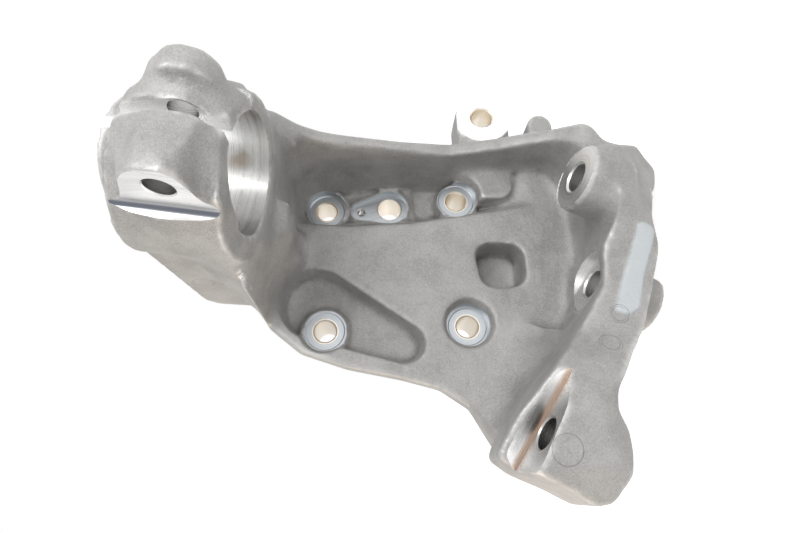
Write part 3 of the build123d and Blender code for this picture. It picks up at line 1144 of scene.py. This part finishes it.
@dataclass
class Machining:
    """The machine shop: cuts the raw casting and keeps the datum of every cut."""

    piece: bpy.types.Object
    datums: list[Datum] = field(default_factory=list)
    surfaces: list[Surface] = field(default_factory=list)
    warm: list[float] = field(default_factory=list)

    def cut(self, mesh: bpy.types.Mesh, datum: Datum,
            surface: Surface = Surface.MILLED, warm: float = 0.0) -> None:
        """Take one cutter out of the piece; its faces carry the number of the cut.

        Args:
            mesh: closed cutter.
            datum: frame that the tool's marks run in.
            surface: finish that the tool leaves.
            warm: strength of the painted warm light on the hole's wall, which stands in for
                light bounced into the hole.
        """
        self.warm.append(warm)
        self.datums.append(datum)
        self.surfaces.append(surface)
        number = len(self.datums)
        for data in (self.piece.data, mesh):
            while len(data.materials) <= number:
                data.materials.append(None)
        slots = np.full(len(mesh.polygons), number, np.int32)
        mesh.polygons.foreach_set("material_index", slots)
        tool = bpy.data.objects.new(mesh.name, mesh)
        bpy.context.scene.collection.objects.link(tool)
        boolean = self.piece.modifiers.new("cut", "BOOLEAN")
        boolean.operation = "DIFFERENCE"
        boolean.solver = "MANIFOLD"
        boolean.object = tool
        apply(self.piece)
        bpy.data.objects.remove(tool)
        LOG.info("cut %s: %d faces", mesh.name, len(self.piece.data.polygons))

    def lay(self) -> None:
        """Write the tool marks' run into the faces and settle the material slots.

        Each corner of a machined face gets (r, z, warm) in its cut's datum, so marks that
        depend on r and z alone run round the tool's axis on walls and faces alike. Warm is
        the strength of the painted warm light on the walls of small holes.
        """
        mesh = self.piece.data
        cut_of = Skin.read(mesh.polygons, "material_index", kind=np.int32)
        corner_cut = np.repeat(cut_of, Skin.read(mesh.polygons, "loop_total", kind=np.int32))
        co = Skin.coordinates(mesh)[Skin.read(mesh.loops, "vertex_index", kind=np.int32)]
        lay = np.zeros((len(mesh.loops), 3), np.float32)
        for number, datum in enumerate(self.datums, 1):
            chosen = corner_cut == number
            near = datum.local(co[chosen])
            lay[chosen, 0] = np.hypot(near[:, 0], near[:, 1])
            lay[chosen, 1] = near[:, 2]
            lay[chosen, 2] = self.warm[number - 1]
        attribute = mesh.attributes.new("lay", "FLOAT_VECTOR", "CORNER")
        attribute.data.foreach_set("vector", lay.ravel())
        kinds = [Surface.CAST.value] + [surface.value for surface in self.surfaces]
        slot = np.array(kinds, np.int32)[cut_of]
        mesh.materials.clear()
        mesh.polygons.foreach_set("material_index", slot)
        LOG.info("machined faces: %d", int((slot > 0).sum()))


@dataclass
class Dressing:
    """Looks that follow the finished mesh: masks, shading edges and the box limit."""

    piece: bpy.types.Object
    limit: float = math.radians(32)
    ground: tuple[Mark, ...] = (
        Mark(((-77.0, 30.0, 153.0), (-72.0, 41.0, 147.0), (-69.5, 50.0, 135.0),
              (-66.5, 57.0, 122.0), (-63.0, 63.0, 106.0)), 3.6),
        Mark(((-67.5, 28.0, 166.0), (-65.5, 26.5, 158.0)), 2.6),
        Mark(((-90.0, 19.0, 184.0), (-85.0, 16.5, 184.0)), 1.9),
        Mark(((-77.0, -34.0, 118.0), (-75.0, -38.0, 100.0), (-66.0, -44.0, 84.0)), 1.8),
    )
    # Line of the painted dark reflection in the concave fillet between the clamp's milled step
    # and its wall.
    fillet_dark_reflection: Mark = Mark(
        (CLAMP.point(-60.0, -32.9, 22.9), CLAMP.point(8.0, -32.9, 22.9)), 2.2
    )
    strip: Strip = Strip()

    def masks(self) -> None:
        """Store the bend of the skin, the ground and strip marks, and the mask of the painted
        dark reflection along the clamp step's fillet.
        """
        mesh = self.piece.data
        co = Skin.coordinates(mesh)
        bend = np.clip(Skin.curvature(mesh) * 3.0, -1, 1)
        attribute = mesh.attributes.new("bend", "FLOAT", "POINT")
        attribute.data.foreach_set("value", bend.astype(np.float32))
        marks = np.zeros((len(co), 3), np.float32)
        for mark in self.ground:
            marks[:, 0] = np.maximum(marks[:, 0], mark.weight(co))
        strip = self.strip.inside(co) & (Skin.normals(mesh)[:, 1] > 0.5)
        marks[:, 1] = Skin.step(Skin.spread(strip.astype(float), Skin.edges(mesh), 4) * 1.2)
        # Third mark: the painted dark reflection along the clamp step's fillet.
        marks[:, 2] = self.fillet_dark_reflection.weight(co)
        attribute = mesh.attributes.new("marks", "FLOAT_VECTOR", "POINT")
        attribute.data.foreach_set("vector", marks.ravel())

    def sharpen(self) -> None:
        """Keep edges crisp where they are steep or where cast skin meets a cut."""
        mesh = self.piece.data
        mesh.shade_smooth()
        mesh.set_sharp_from_angle(angle=self.limit)
        slot = Skin.read(mesh.polygons, "material_index", kind=np.int32)
        corner = np.repeat(slot, Skin.read(mesh.polygons, "loop_total", kind=np.int32))
        edge = Skin.read(mesh.loops, "edge_index", kind=np.int32)
        total = np.bincount(edge, corner, len(mesh.edges))
        count = np.bincount(edge, minlength=len(mesh.edges))
        border = (total > 0) & (total < count)
        attribute = mesh.attributes.get("sharp_edge")
        if attribute is None:
            attribute = mesh.attributes.new("sharp_edge", "BOOLEAN", "EDGE")
        sharp = Skin.read(attribute.data, "value", kind=bool)
        attribute.data.foreach_set("value", sharp | border)
        mesh.update()

    def fit(self, box: list[list[float]]) -> None:
        """Keep every vertex within the construction model's box.

        Args:
            box: lowest and highest corner in metres.
        """
        low, high = np.array(box[0]) + 1e-6, np.array(box[1]) - 1e-6
        Skin.store(self.piece.data, np.clip(Skin.coordinates(self.piece.data), low, high))


@dataclass
class Nodes:
    """Short hand for the nodes of one tree."""

    tree: bpy.types.NodeTree

    def add(self, kind: str, **settings: object) -> bpy.types.Node:
        """New node with its settings.

        Args:
            kind: node type without its prefix.
            settings: attributes of the node.

        Returns:
            The node.
        """
        node = self.tree.nodes.new("ShaderNode" + kind)
        for name, value in settings.items():
            setattr(node, name, value)
        return node

    def feed(self, socket: bpy.types.NodeSocket, value: object) -> None:
        """Link a socket to another socket, or set its number or colour.

        Args:
            socket: input to feed.
            value: output socket, number or colour.
        """
        if isinstance(value, bpy.types.NodeSocket):
            self.tree.links.new(value, socket)
        else:
            socket.default_value = value

    def math(self, operation: str, first: object, second: object = 0.0,
             clamp: bool = False) -> bpy.types.NodeSocket:
        """Result of a Math node.

        Args:
            operation: name of the operation.
            first: socket or number.
            second: socket or number.
            clamp: keep the result from 0 to 1.

        Returns:
            The output socket.
        """
        node = self.add("Math", operation=operation, use_clamp=clamp)
        self.feed(node.inputs[0], first)
        self.feed(node.inputs[1], second)
        return node.outputs[0]

    def noise(self, vector: object, scale: object, detail: float = 2.0,
              rough: float = 0.5) -> bpy.types.NodeSocket:
        """Value of a Noise Texture, about 0 to 1.

        Args:
            vector: position socket.
            scale: socket or number.
            detail: octaves.
            rough: share that each octave keeps.

        Returns:
            The value socket.
        """
        node = self.add("TexNoise")
        self.feed(node.inputs["Vector"], vector)
        self.feed(node.inputs["Scale"], scale)
        node.inputs["Detail"].default_value = detail
        node.inputs["Roughness"].default_value = rough
        return node.outputs[0]

    def ramp(self, value: object, low: object, high: object, start: float = 0.0,
             end: float = 1.0) -> bpy.types.NodeSocket:
        """Smooth step of a value from low to high, put between start and end.

        Args:
            value: input socket.
            low: value that gives start.
            high: value that gives end.
            start: result at low.
            end: result at high.

        Returns:
            The result socket.
        """
        node = self.add("MapRange", interpolation_type="SMOOTHSTEP")
        for name, item in (("Value", value), ("From Min", low), ("From Max", high),
                           ("To Min", start), ("To Max", end)):
            self.feed(node.inputs[name], item)
        return node.outputs[0]

    def blend(self, factor: object, first: object, second: object,
              mode: str = "MIX") -> bpy.types.NodeSocket:
        """Colour mix.

        Args:
            factor: socket or number.
            first: colour or socket.
            second: colour or socket.
            mode: blend type.

        Returns:
            The colour socket.
        """
        node = self.add("Mix", data_type="RGBA", blend_type=mode)
        self.feed(node.inputs[0], factor)
        self.feed(node.inputs[6], first)
        self.feed(node.inputs[7], second)
        return node.outputs[2]

    def attribute(self, name: str) -> bpy.types.NodeOutputs:
        """Outputs of one of the mesh's own attributes."""
        return self.add("Attribute", attribute_name=name).outputs

    def parts(self, vector: bpy.types.NodeSocket) -> bpy.types.NodeOutputs:
        """The three numbers of a vector.

        Args:
            vector: socket to take apart.

        Returns:
            The three output sockets.
        """
        node = self.add("SeparateXYZ")
        self.feed(node.inputs[0], vector)
        return node.outputs

    def bump(self, height: bpy.types.NodeSocket, strength: float,
             distance: float) -> bpy.types.NodeSocket:
        """Normal bent by a height.

        Args:
            height: height socket.
            strength: share of the bend.
            distance: metres that a height of 1 stands for.

        Returns:
            The normal socket.
        """
        node = self.add("Bump")
        node.inputs["Strength"].default_value = strength
        node.inputs["Distance"].default_value = distance
        self.feed(node.inputs["Height"], height)
        return node.outputs[0]


@dataclass
class Effects:
    """Node groups that the finishes share, built once."""

    made: dict[str, bpy.types.NodeTree] = field(default_factory=dict)

    def group(
        self, name: str, takes: dict[str, str], gives: dict[str, str]
    ) -> tuple[Nodes, bpy.types.NodeOutputs, bpy.types.NodeInputs]:
        """New node group with named sockets.

        Args:
            name: group name.
            takes: name and type of each input.
            gives: name and type of each output.

        Returns:
            The node helper, the input sockets and the output sockets.
        """
        tree = bpy.data.node_groups.new(name, "ShaderNodeTree")
        for side, sockets in (("INPUT", takes), ("OUTPUT", gives)):
            for label, kind in sockets.items():
                tree.interface.new_socket(label, in_out=side, socket_type="NodeSocket" + kind)
        start, end = tree.nodes.new("NodeGroupInput"), tree.nodes.new("NodeGroupOutput")
        self.made[name] = tree
        return Nodes(tree), start.outputs, end.inputs

    def place(self, nodes: Nodes, name: str, **values: object) -> bpy.types.NodeOutputs:
        """Put a group into a material.

        Args:
            nodes: helper of the material's tree.
            name: group name.
            values: value or socket of each input, spaces written as underscores.

        Returns:
            The group's outputs.
        """
        node = nodes.tree.nodes.new("ShaderNodeGroup")
        node.node_tree = self.made[name]
        for label, value in values.items():
            nodes.feed(node.inputs[label.replace("_", " ")], value)
        return node.outputs

    def grain(self) -> None:
        """Surface grain: fine bumps, soft lumps and a slow mottle of the tone."""
        n, i, o = self.group(
            "surface_grain", {"Vector": "Vector", "Scale": "Float"},
            {"Height": "Float", "Mottle": "Float"},
        )
        fine = n.noise(i["Vector"], i["Scale"], 3.0, 0.65)
        lumps = n.noise(i["Vector"], n.math("MULTIPLY", i["Scale"], 0.22), 2.0, 0.5)
        slow = n.noise(i["Vector"], n.math("MULTIPLY", i["Scale"], 0.045), 3.0, 0.6)
        height = n.math("ADD", n.math("MULTIPLY", fine, 0.6), n.math("MULTIPLY", lumps, 0.9))
        n.feed(o["Height"], height)
        tone = n.math("ADD", n.math("MULTIPLY", slow, 0.45), n.math("MULTIPLY", fine, 0.55))
        n.feed(o["Mottle"], n.ramp(tone, 0.33, 0.67))

    def edge_wear_and_hollow_shade(self) -> None:
        """Rubbed outer edges, and painted shade that darkens the hollows, both from the bend
        of the skin.
        """
        n, i, o = self.group(
            "edge_wear_and_hollow_shade", {"Bend": "Float", "Vector": "Vector", "Breakup": "Float"},
            {"Edge": "Float", "HollowShade": "Float"},
        )
        ragged = n.noise(i["Vector"], 260.0, 2.0)
        shift = n.math("MULTIPLY", n.math("SUBTRACT", ragged, 0.5), i["Breakup"])
        bend = n.math("ADD", i["Bend"], shift)
        n.feed(o["Edge"], n.ramp(bend, 0.18, 0.85))
        # HollowShade: mask of the painted shade in the hollows of the skin.
        n.feed(o["HollowShade"], n.ramp(n.math("MULTIPLY", bend, -1.0), 0.08, 0.6))

    def tool_marks(self) -> None:
        """Turning and milling marks that depend on radius and height of the cut."""
        n, i, o = self.group(
            "tool_marks", {"Lay": "Vector", "Pitch": "Float"},
            {"Height": "Float", "Shade": "Float"},
        )
        flat = n.add("VectorMath", operation="MULTIPLY")
        n.feed(flat.inputs[0], i["Lay"])
        flat.inputs[1].default_value = (1.0, 1.0, 0.0)
        fine = n.noise(flat.outputs[0], i["Pitch"], 2.0, 0.6)
        wide = n.noise(flat.outputs[0], n.math("MULTIPLY", i["Pitch"], 0.18), 2.0, 0.6)
        n.feed(o["Height"], n.math("ADD", fine, n.math("MULTIPLY", wide, 0.4)))
        n.feed(o["Shade"], n.ramp(n.math("ADD", n.math("MULTIPLY", wide, 0.65),
                                         n.math("MULTIPLY", fine, 0.35)), 0.3, 0.7))

    def spot(self) -> None:
        """Round spot with a ragged edge: 1 within the radius of a centre, 0 outside."""
        n, i, o = self.group(
            "spot", {"Vector": "Vector", "Centre": "Vector", "Radius": "Float",
                     "Soft": "Float", "Ragged": "Float"},
            {"Mask": "Float"},
        )
        away = n.add("VectorMath", operation="DISTANCE")
        n.feed(away.inputs[0], i["Vector"])
        n.feed(away.inputs[1], i["Centre"])
        noise = n.math("SUBTRACT", n.noise(i["Vector"], 120.0, 2.0), 0.5)
        reach = n.math("ADD", away.outputs["Value"], n.math("MULTIPLY", noise, i["Ragged"]))
        n.feed(o["Mask"], n.ramp(reach, n.math("ADD", i["Radius"], i["Soft"]), i["Radius"]))

    def corner_line(self) -> None:
        """Line along a cut's corner: 1 within the radius of a straight line."""
        n, i, o = self.group(
            "corner_line", {"Vector": "Vector", "Start": "Vector", "Along": "Vector",
                     "Radius": "Float"},
            {"Mask": "Float"},
        )
        away = n.add("VectorMath", operation="SUBTRACT")
        n.feed(away.inputs[0], i["Vector"])
        n.feed(away.inputs[1], i["Start"])
        across = n.add("VectorMath", operation="CROSS_PRODUCT")
        n.feed(across.inputs[0], away.outputs[0])
        n.feed(across.inputs[1], i["Along"])
        reach = n.add("VectorMath", operation="LENGTH")
        n.feed(reach.inputs[0], across.outputs[0])
        n.feed(o["Mask"], n.ramp(reach.outputs["Value"],
                                 n.math("MULTIPLY", i["Radius"], 2.0),
                                 n.math("MULTIPLY", i["Radius"], 0.5)))

    def build(self) -> Effects:
        """Build every group.

        Returns:
            This object.
        """
        self.grain()
        self.edge_wear_and_hollow_shade()
        self.tool_marks()
        self.spot()
        self.corner_line()
        return self


@dataclass(frozen=True)
class Stamp:
    """Plain round mark of the mould: a spot, or a ring where it has a width."""

    centre: Point
    radius: float
    width: float = 0.0
    soft: float = 0.5

    def spot(self, nodes: Nodes, effects: Effects, place: object, radius: float) -> object:
        """Mask of a round spot in the middle of the mark.

        Args:
            nodes: helper of the material's tree.
            effects: shared groups.
            place: object coordinates.
            radius: millimetres.

        Returns:
            The mask socket.
        """
        return effects.place(nodes, "spot", Vector=place, Centre=tuple(row(self.centre)),
                             Radius=radius * MM, Soft=self.soft * MM, Ragged=0.0)["Mask"]

    def height(self, nodes: Nodes, effects: Effects, place: object) -> object:
        """Height of the mark: a spot, less a smaller spot where it is a ring.

        Args:
            nodes: helper of the material's tree.
            effects: shared groups.
            place: object coordinates.

        Returns:
            The height socket.
        """
        height = self.spot(nodes, effects, place, self.radius)
        if self.width:
            inner = self.spot(nodes, effects, place, self.radius - self.width)
            height = nodes.math("SUBTRACT", height, inner)
        return height


@dataclass(frozen=True)
class Stain:
    """Soft, ragged patch of another tint on a cut face."""

    centre: Point
    radius: float
    tint: Point
    strength: float
    core: float = 0.3
    ragged: float = 0.008

    def lay(self, nodes: Nodes, effects: Effects, place: object, colour: object) -> object:
        """Colour with the stain laid over it.

        Args:
            nodes: helper of the material's tree.
            effects: shared groups.
            place: object coordinates.
            colour: colour socket under the stain.

        Returns:
            The colour socket.
        """
        mask = effects.place(
            nodes, "spot", Vector=place, Centre=tuple(row(self.centre)),
            Radius=self.radius * self.core * MM, Soft=self.radius * MM,
            Ragged=self.ragged)["Mask"]
        return nodes.blend(nodes.math("MULTIPLY", mask, self.strength), colour,
                           (*self.tint, 1))


@dataclass(frozen=True)
class CornerLight:
    """Line of painted light along the inner corner of a milled step: a bright tint paints a
    glint, a dark tint paints the shade in the corner.
    """

    start: Point
    along: Point
    radius: float
    tint: Point
    strength: float = 0.8

    def lay(self, nodes: Nodes, effects: Effects, place: object, colour: object) -> object:
        """Colour with the line laid over it.

        Args:
            nodes: helper of the material's tree.
            effects: shared groups.
            place: object coordinates.
            colour: colour socket under the line.

        Returns:
            The colour socket.
        """
        mask = effects.place(
            nodes, "corner_line", Vector=place, Start=tuple(row(self.start)),
            Along=tuple(heading(self.along)), Radius=self.radius * MM)["Mask"]
        return nodes.blend(nodes.math("MULTIPLY", mask, self.strength), colour,
                           (*self.tint, 1))


@dataclass(frozen=True)
class Finish:
    """A material by name, with the start that every finish of the piece shares."""

    name: str

    def start(self) -> tuple[bpy.types.Material, bpy.types.Node, Nodes]:
        """New material with its shader.

        Returns:
            The material, its Principled shader and the helper of its tree.
        """
        material = bpy.data.materials.new(self.name)
        material.use_nodes = True
        tree = material.node_tree
        return material, tree.nodes["Principled BSDF"], Nodes(tree)


@dataclass(frozen=True)
class CastSkin(Finish):
    """Shot-blasted sand-cast aluminium, satin grey with a slightly warm tone."""

    name: str = "cast_skin"
    colour: Point = (0.485, 0.478, 0.465)
    shade: Point = (0.310, 0.303, 0.291)
    # Painted shade: the near-black grey that the hollows of the skin are darkened towards.
    hollow_shade: Point = (0.130, 0.127, 0.125)
    rubbed: Point = (0.640, 0.632, 0.615)
    strip: Point = (0.600, 0.640, 0.660)
    ground: Point = (0.780, 0.775, 0.765)
    metallic: float = 0.35
    roughness: float = 0.50
    grain: float = 1300.0
    bump: float = 0.70
    bump_depth: float = 0.0006
    breakup: float = 0.35
    stamp_height: float = 1.6
    stamps: tuple[Stamp, ...] = (
        Stamp((107.6, -57.0, 98.0), 4.6, 1.1, 0.4),
        Stamp((98.3, -72.7, 103.4), 5.2, 1.1, 0.4),
        Stamp((-106.5, -23.0, 67.0), 6.0, 1.1, 0.4),
        Stamp((65.0, -120.8, 118.2), 6.4),
    )

    def build(self, effects: Effects) -> bpy.types.Material:
        """Material with this finish.

        Args:
            effects: shared groups.

        Returns:
            The material.
        """
        material, shader, n = self.start()
        place = n.add("TexCoord").outputs["Object"]
        marks = n.parts(n.attribute("marks")["Vector"])
        grain = effects.place(n, "surface_grain", Vector=place, Scale=self.grain)
        # wear carries the rubbed edges and the mask of the painted shade in the hollows.
        wear = effects.place(n, "edge_wear_and_hollow_shade", Bend=n.attribute("bend")["Fac"], Vector=place,
                             Breakup=self.breakup)
        broken = n.ramp(n.noise(place, 700.0, 3.0), 0.40, 0.56)
        ground = n.math("MULTIPLY", marks[0], broken, True)
        colour = n.blend(grain["Mottle"], (*self.shade, 1), (*self.colour, 1))
        for mask, share, tint in (
            # Painted shade darkens the hollows.
            (wear["HollowShade"], 0.75, self.hollow_shade),
            (wear["Edge"], 0.8, self.rubbed),
            (marks[1], 0.8, self.strip),
            (ground, 1.0, self.ground),
        ):
            colour = n.blend(n.math("MULTIPLY", mask, share), colour, (*tint, 1))
        n.feed(shader.inputs["Base Color"], colour)
        gloss: object = self.roughness
        for mask, share in ((grain["Mottle"], 0.12), (wear["Edge"], -0.14), (ground, -0.22)):
            gloss = n.math("ADD", gloss, n.math("MULTIPLY", mask, share))
        n.feed(shader.inputs["Roughness"], gloss)
        n.feed(shader.inputs["Metallic"],
               n.math("ADD", n.math("MULTIPLY", ground, 0.5), self.metallic, True))
        height = grain["Height"]
        for stamp in self.stamps:
            mark = n.math("MULTIPLY", stamp.height(n, effects, place), self.stamp_height)
            height = n.math("ADD", height, mark)
        n.feed(shader.inputs["Normal"], n.bump(height, self.bump, self.bump_depth))
        return material


@dataclass(frozen=True)
class CutMetal(Finish):
    """Freshly cut aluminium with turning and milling marks."""

    name: str = "cut_metal"
    colour: Point = (0.88, 0.88, 0.875)
    dull: Point = (0.66, 0.655, 0.645)
    # Painted warm light: tint of small hole walls, standing in for light bounced into the
    # holes from below.
    bore: Point = (0.84, 0.76, 0.64)
    bore_radius: float = 7.8
    # Painted dark reflection in the fillet of the clamp's milled step.
    fillet_dark_reflection: Point = (0.16, 0.17, 0.20)
    metallic: float = 1.0
    roughness: float = 0.24
    pitch: float = 1.4
    grain: float = 900.0
    bump: float = 0.12
    bump_depth: float = 0.0002
    stains: tuple[Stain, ...] = (
        Stain((-78.7, 23.1, 117.3), 6.0, (0.42, 0.34, 0.27), 0.7),
        Stain((61.0, -110.5, 113.0), 20.0, (0.34, 0.335, 0.33), 0.9),
    )
    # Painted light along the tie rod step's inner corner: the wide brown-orange line paints a
    # glint, the narrow dark line paints the shade in the corner.
    corner_glint_and_shade: tuple[CornerLight, ...] = (
        CornerLight((53.5, -117.4, 96.3), (0.491, 0.773, 0.401), 1.3, (0.50, 0.38, 0.30)),
        CornerLight((53.5, -117.4, 96.3), (0.491, 0.773, 0.401), 0.5, (0.13, 0.13, 0.14)),
    )

    def build(self, effects: Effects) -> bpy.types.Material:
        """Material with this finish.

        Args:
            effects: shared groups.

        Returns:
            The material.
        """
        material, shader, n = self.start()
        place = n.add("TexCoord").outputs["Object"]
        lay = n.attribute("lay")["Vector"]
        marks = effects.place(n, "tool_marks", Lay=lay, Pitch=self.pitch)
        grain = effects.place(n, "surface_grain", Vector=place, Scale=self.grain)
        tone = n.math("ADD", n.math("MULTIPLY", marks["Shade"], 0.7),
                      n.math("MULTIPLY", grain["Mottle"], 0.3), True)
        colour = n.blend(tone, (*self.dull, 1), (*self.colour, 1))
        # Painted warm light on the walls of holes whose cut asks for it.
        radius, _, warm = n.parts(lay)
        wall = n.ramp(radius, self.bore_radius + 0.15, self.bore_radius)
        painted_hole_light = n.math("MULTIPLY", n.math("MULTIPLY", wall, warm), 0.9)
        colour = n.blend(painted_hole_light, colour, (*self.bore, 1))
        # Painted dark reflection along the clamp step's fillet.
        fillet_dark_reflection = n.parts(n.attribute("marks")["Vector"])[2]
        colour = n.blend(fillet_dark_reflection, colour, (*self.fillet_dark_reflection, 1))
        # Stains, then the painted glint and corner shade of the tie rod step.
        for layer in self.stains + self.corner_glint_and_shade:
            colour = layer.lay(n, effects, place, colour)
        n.feed(shader.inputs["Base Color"], colour)
        shader.inputs["Metallic"].default_value = self.metallic
        n.feed(shader.inputs["Roughness"],
               n.math("ADD", n.math("MULTIPLY", marks["Shade"], 0.10), self.roughness))
        height = n.math("ADD", marks["Height"], n.math("MULTIPLY", grain["Height"], 0.2))
        n.feed(shader.inputs["Normal"], n.bump(height, self.bump, self.bump_depth))
        return material


SPOT_FACED = CutMetal(
    name="spot_faced_metal", colour=(0.52, 0.545, 0.565), dull=(0.36, 0.38, 0.40),
    roughness=0.32, stains=(), corner_glint_and_shade=(),
)


class View(Enum):
    """What a ray from the studio's white surfaces is seen by."""

    CAMERA = "Is Camera Ray"
    GLOSSY = "Is Glossy Ray"
    TRANSMISSION = "Is Transmission Ray"


@dataclass(frozen=True)
class Lamp:
    """Square soft box that looks at the middle of the piece."""

    name: str
    direction: Point
    size: float
    power: float
    colour: Point = (1.0, 1.0, 1.0)
    distance: float = 0.9
    target: Point = (0.02, 0.05, -0.01)

    def build(self, turn: Matrix) -> None:
        """Hang the soft box.

        Args:
            turn: turn of the viewing angle, because the direction is written as right,
                up and towards the viewer.
        """
        data = bpy.data.lights.new(self.name, "AREA")
        data.shape = "SQUARE"
        data.size = self.size
        data.energy = self.power
        data.color = self.colour
        lamp = bpy.data.objects.new(self.name, data)
        away = (turn @ Vector(self.direction)).normalized()
        lamp.location = Vector(self.target) + away * self.distance
        lamp.rotation_euler = away.to_track_quat("Z", "Y").to_euler()
        bpy.context.scene.collection.objects.link(lamp)


@dataclass(frozen=True)
class Studio:
    """White studio with a soft key, a warm low fill and the inboard viewing angle."""

    lens: float = 25.137
    sensor: float = 36.0
    place: Point = (0.132626, 0.359586, 0.016033)
    turn: tuple[Point, Point, Point] = (
        (0.04473931, -0.9283358, 0.3690407),
        (0.04261343, 0.37084778, 0.92771548),
        (-0.99808942, -0.02577926, 0.05615104),
    )
    ambient: Point = (0.35, 0.356, 0.372)
    paper: Point = (0.8, 0.8, 0.8)
    paper_glow: float = 0.75
    paper_reach: float = 3.0
    lamps: tuple[Lamp, ...] = (
        Lamp("key", (-0.68, 0.58, 1.04), 0.6, 5.3),
        Lamp("low_fill", (0.05, -1.0, 0.05), 0.5, 5.0, (1.0, 0.87, 0.73)),
    )

    def camera(self) -> None:
        """Camera at the fitted viewing place."""
        data = bpy.data.cameras.new("camera")
        data.sensor_width = self.sensor
        data.lens = self.lens
        data.clip_start = 0.01
        camera = bpy.data.objects.new("camera", data)
        camera.matrix_world = Matrix.Translation(self.place) @ Matrix(self.turn).to_4x4()
        bpy.context.scene.collection.objects.link(camera)
        bpy.context.scene.camera = camera

    @staticmethod
    def seen_white(nodes: Nodes) -> bpy.types.NodeSocket:
        """Mask of the rays that see the studio white.

        Args:
            nodes: helper of the tree.

        Returns:
            The mask socket.
        """
        path = nodes.add("LightPath")
        total: object = 0.0
        for view in View:
            total = nodes.math("ADD", total, path.outputs[view.value], True)
        return total

    def world(self) -> None:
        """White to the camera and mirrors, a plain soft grey to everything else."""
        world = bpy.data.worlds.new("studio")
        world.use_nodes = True
        tree = world.node_tree
        n = Nodes(tree)
        back = tree.nodes["Background"]
        back.inputs["Color"].default_value = (*self.ambient, 1.0)
        white = n.add("Background")
        white.inputs["Color"].default_value = (1.0, 1.0, 1.0, 1.0)
        mix = n.add("MixShader")
        n.feed(mix.inputs[0], self.seen_white(n))
        n.feed(mix.inputs[1], back.outputs[0])
        n.feed(mix.inputs[2], white.outputs[0])
        n.feed(tree.nodes["World Output"].inputs[0], mix.outputs[0])
        bpy.context.scene.world = world

    def floor(self, level: float) -> None:
        """Pale floor under the piece, lifted to white where it is seen.

        Args:
            level: height of the floor in metres.
        """
        data = bpy.data.meshes.new("floor")
        r = self.paper_reach
        data.from_pydata([(-r, -r, level), (r, -r, level), (r, r, level), (-r, r, level)],
                         [], [[0, 1, 2, 3]])
        floor = bpy.data.objects.new("floor", data)
        bpy.context.scene.collection.objects.link(floor)
        material = bpy.data.materials.new("floor_paper")
        material.use_nodes = True
        tree = material.node_tree
        n = Nodes(tree)
        paper = tree.nodes["Principled BSDF"]
        paper.inputs["Base Color"].default_value = (*self.paper, 1.0)
        paper.inputs["Roughness"].default_value = 0.9
        glow = n.add("Emission")
        glow.inputs["Strength"].default_value = self.paper_glow
        both, pick = n.add("AddShader"), n.add("MixShader")
        n.feed(both.inputs[0], paper.outputs[0])
        n.feed(both.inputs[1], glow.outputs[0])
        n.feed(pick.inputs[0], self.seen_white(n))
        n.feed(pick.inputs[1], paper.outputs[0])
        n.feed(pick.inputs[2], both.outputs[0])
        n.feed(tree.nodes["Material Output"].inputs["Surface"], pick.outputs[0])
        data.materials.append(material)
        floor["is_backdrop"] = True

    def build(self, level: float) -> None:
        """Camera, lamps, world and floor.

        Args:
            level: height of the floor in metres.
        """
        self.camera()
        for lamp in self.lamps:
            lamp.build(Matrix(self.turn))
        self.world()
        self.floor(level)


def main() -> None:
    """Build the piece and its studio."""
    logging.basicConfig(level=logging.INFO, format="%(name)s: %(message)s")
    for old in list(bpy.data.objects):
        bpy.data.objects.remove(old)
    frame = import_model()
    box = [list(v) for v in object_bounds()]
    source = frame["nodes"]["knuckle_casting"]
    zones = [zone() for zone in ZONES]
    plugs = [mesh for zone in zones for mesh in zone.plugs()]
    extra = [allowance for zone in zones for allowance in zone.allowances()]
    piece = Casting("knuckle_casting", plugs=plugs, allowances=extra).build(source)
    shop = Machining(piece)
    for zone in zones:
        zone.machine(shop)
        LOG.info("machined %s", type(zone).__name__)
    shop.lay()
    effects = Effects().build()
    for finish in (CastSkin(), CutMetal(), SPOT_FACED):
        piece.data.materials.append(finish.build(effects))
    dressing = Dressing(piece)
    dressing.fit(box)
    dressing.masks()
    dressing.sharpen()
    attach(piece, "root")
    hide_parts("knuckle_casting")
    Studio().build(box[0][2] - FLOOR_GAP)
    bpy.context.scene.view_settings.view_transform = "Standard"


if __name__ == "__main__":
    main()
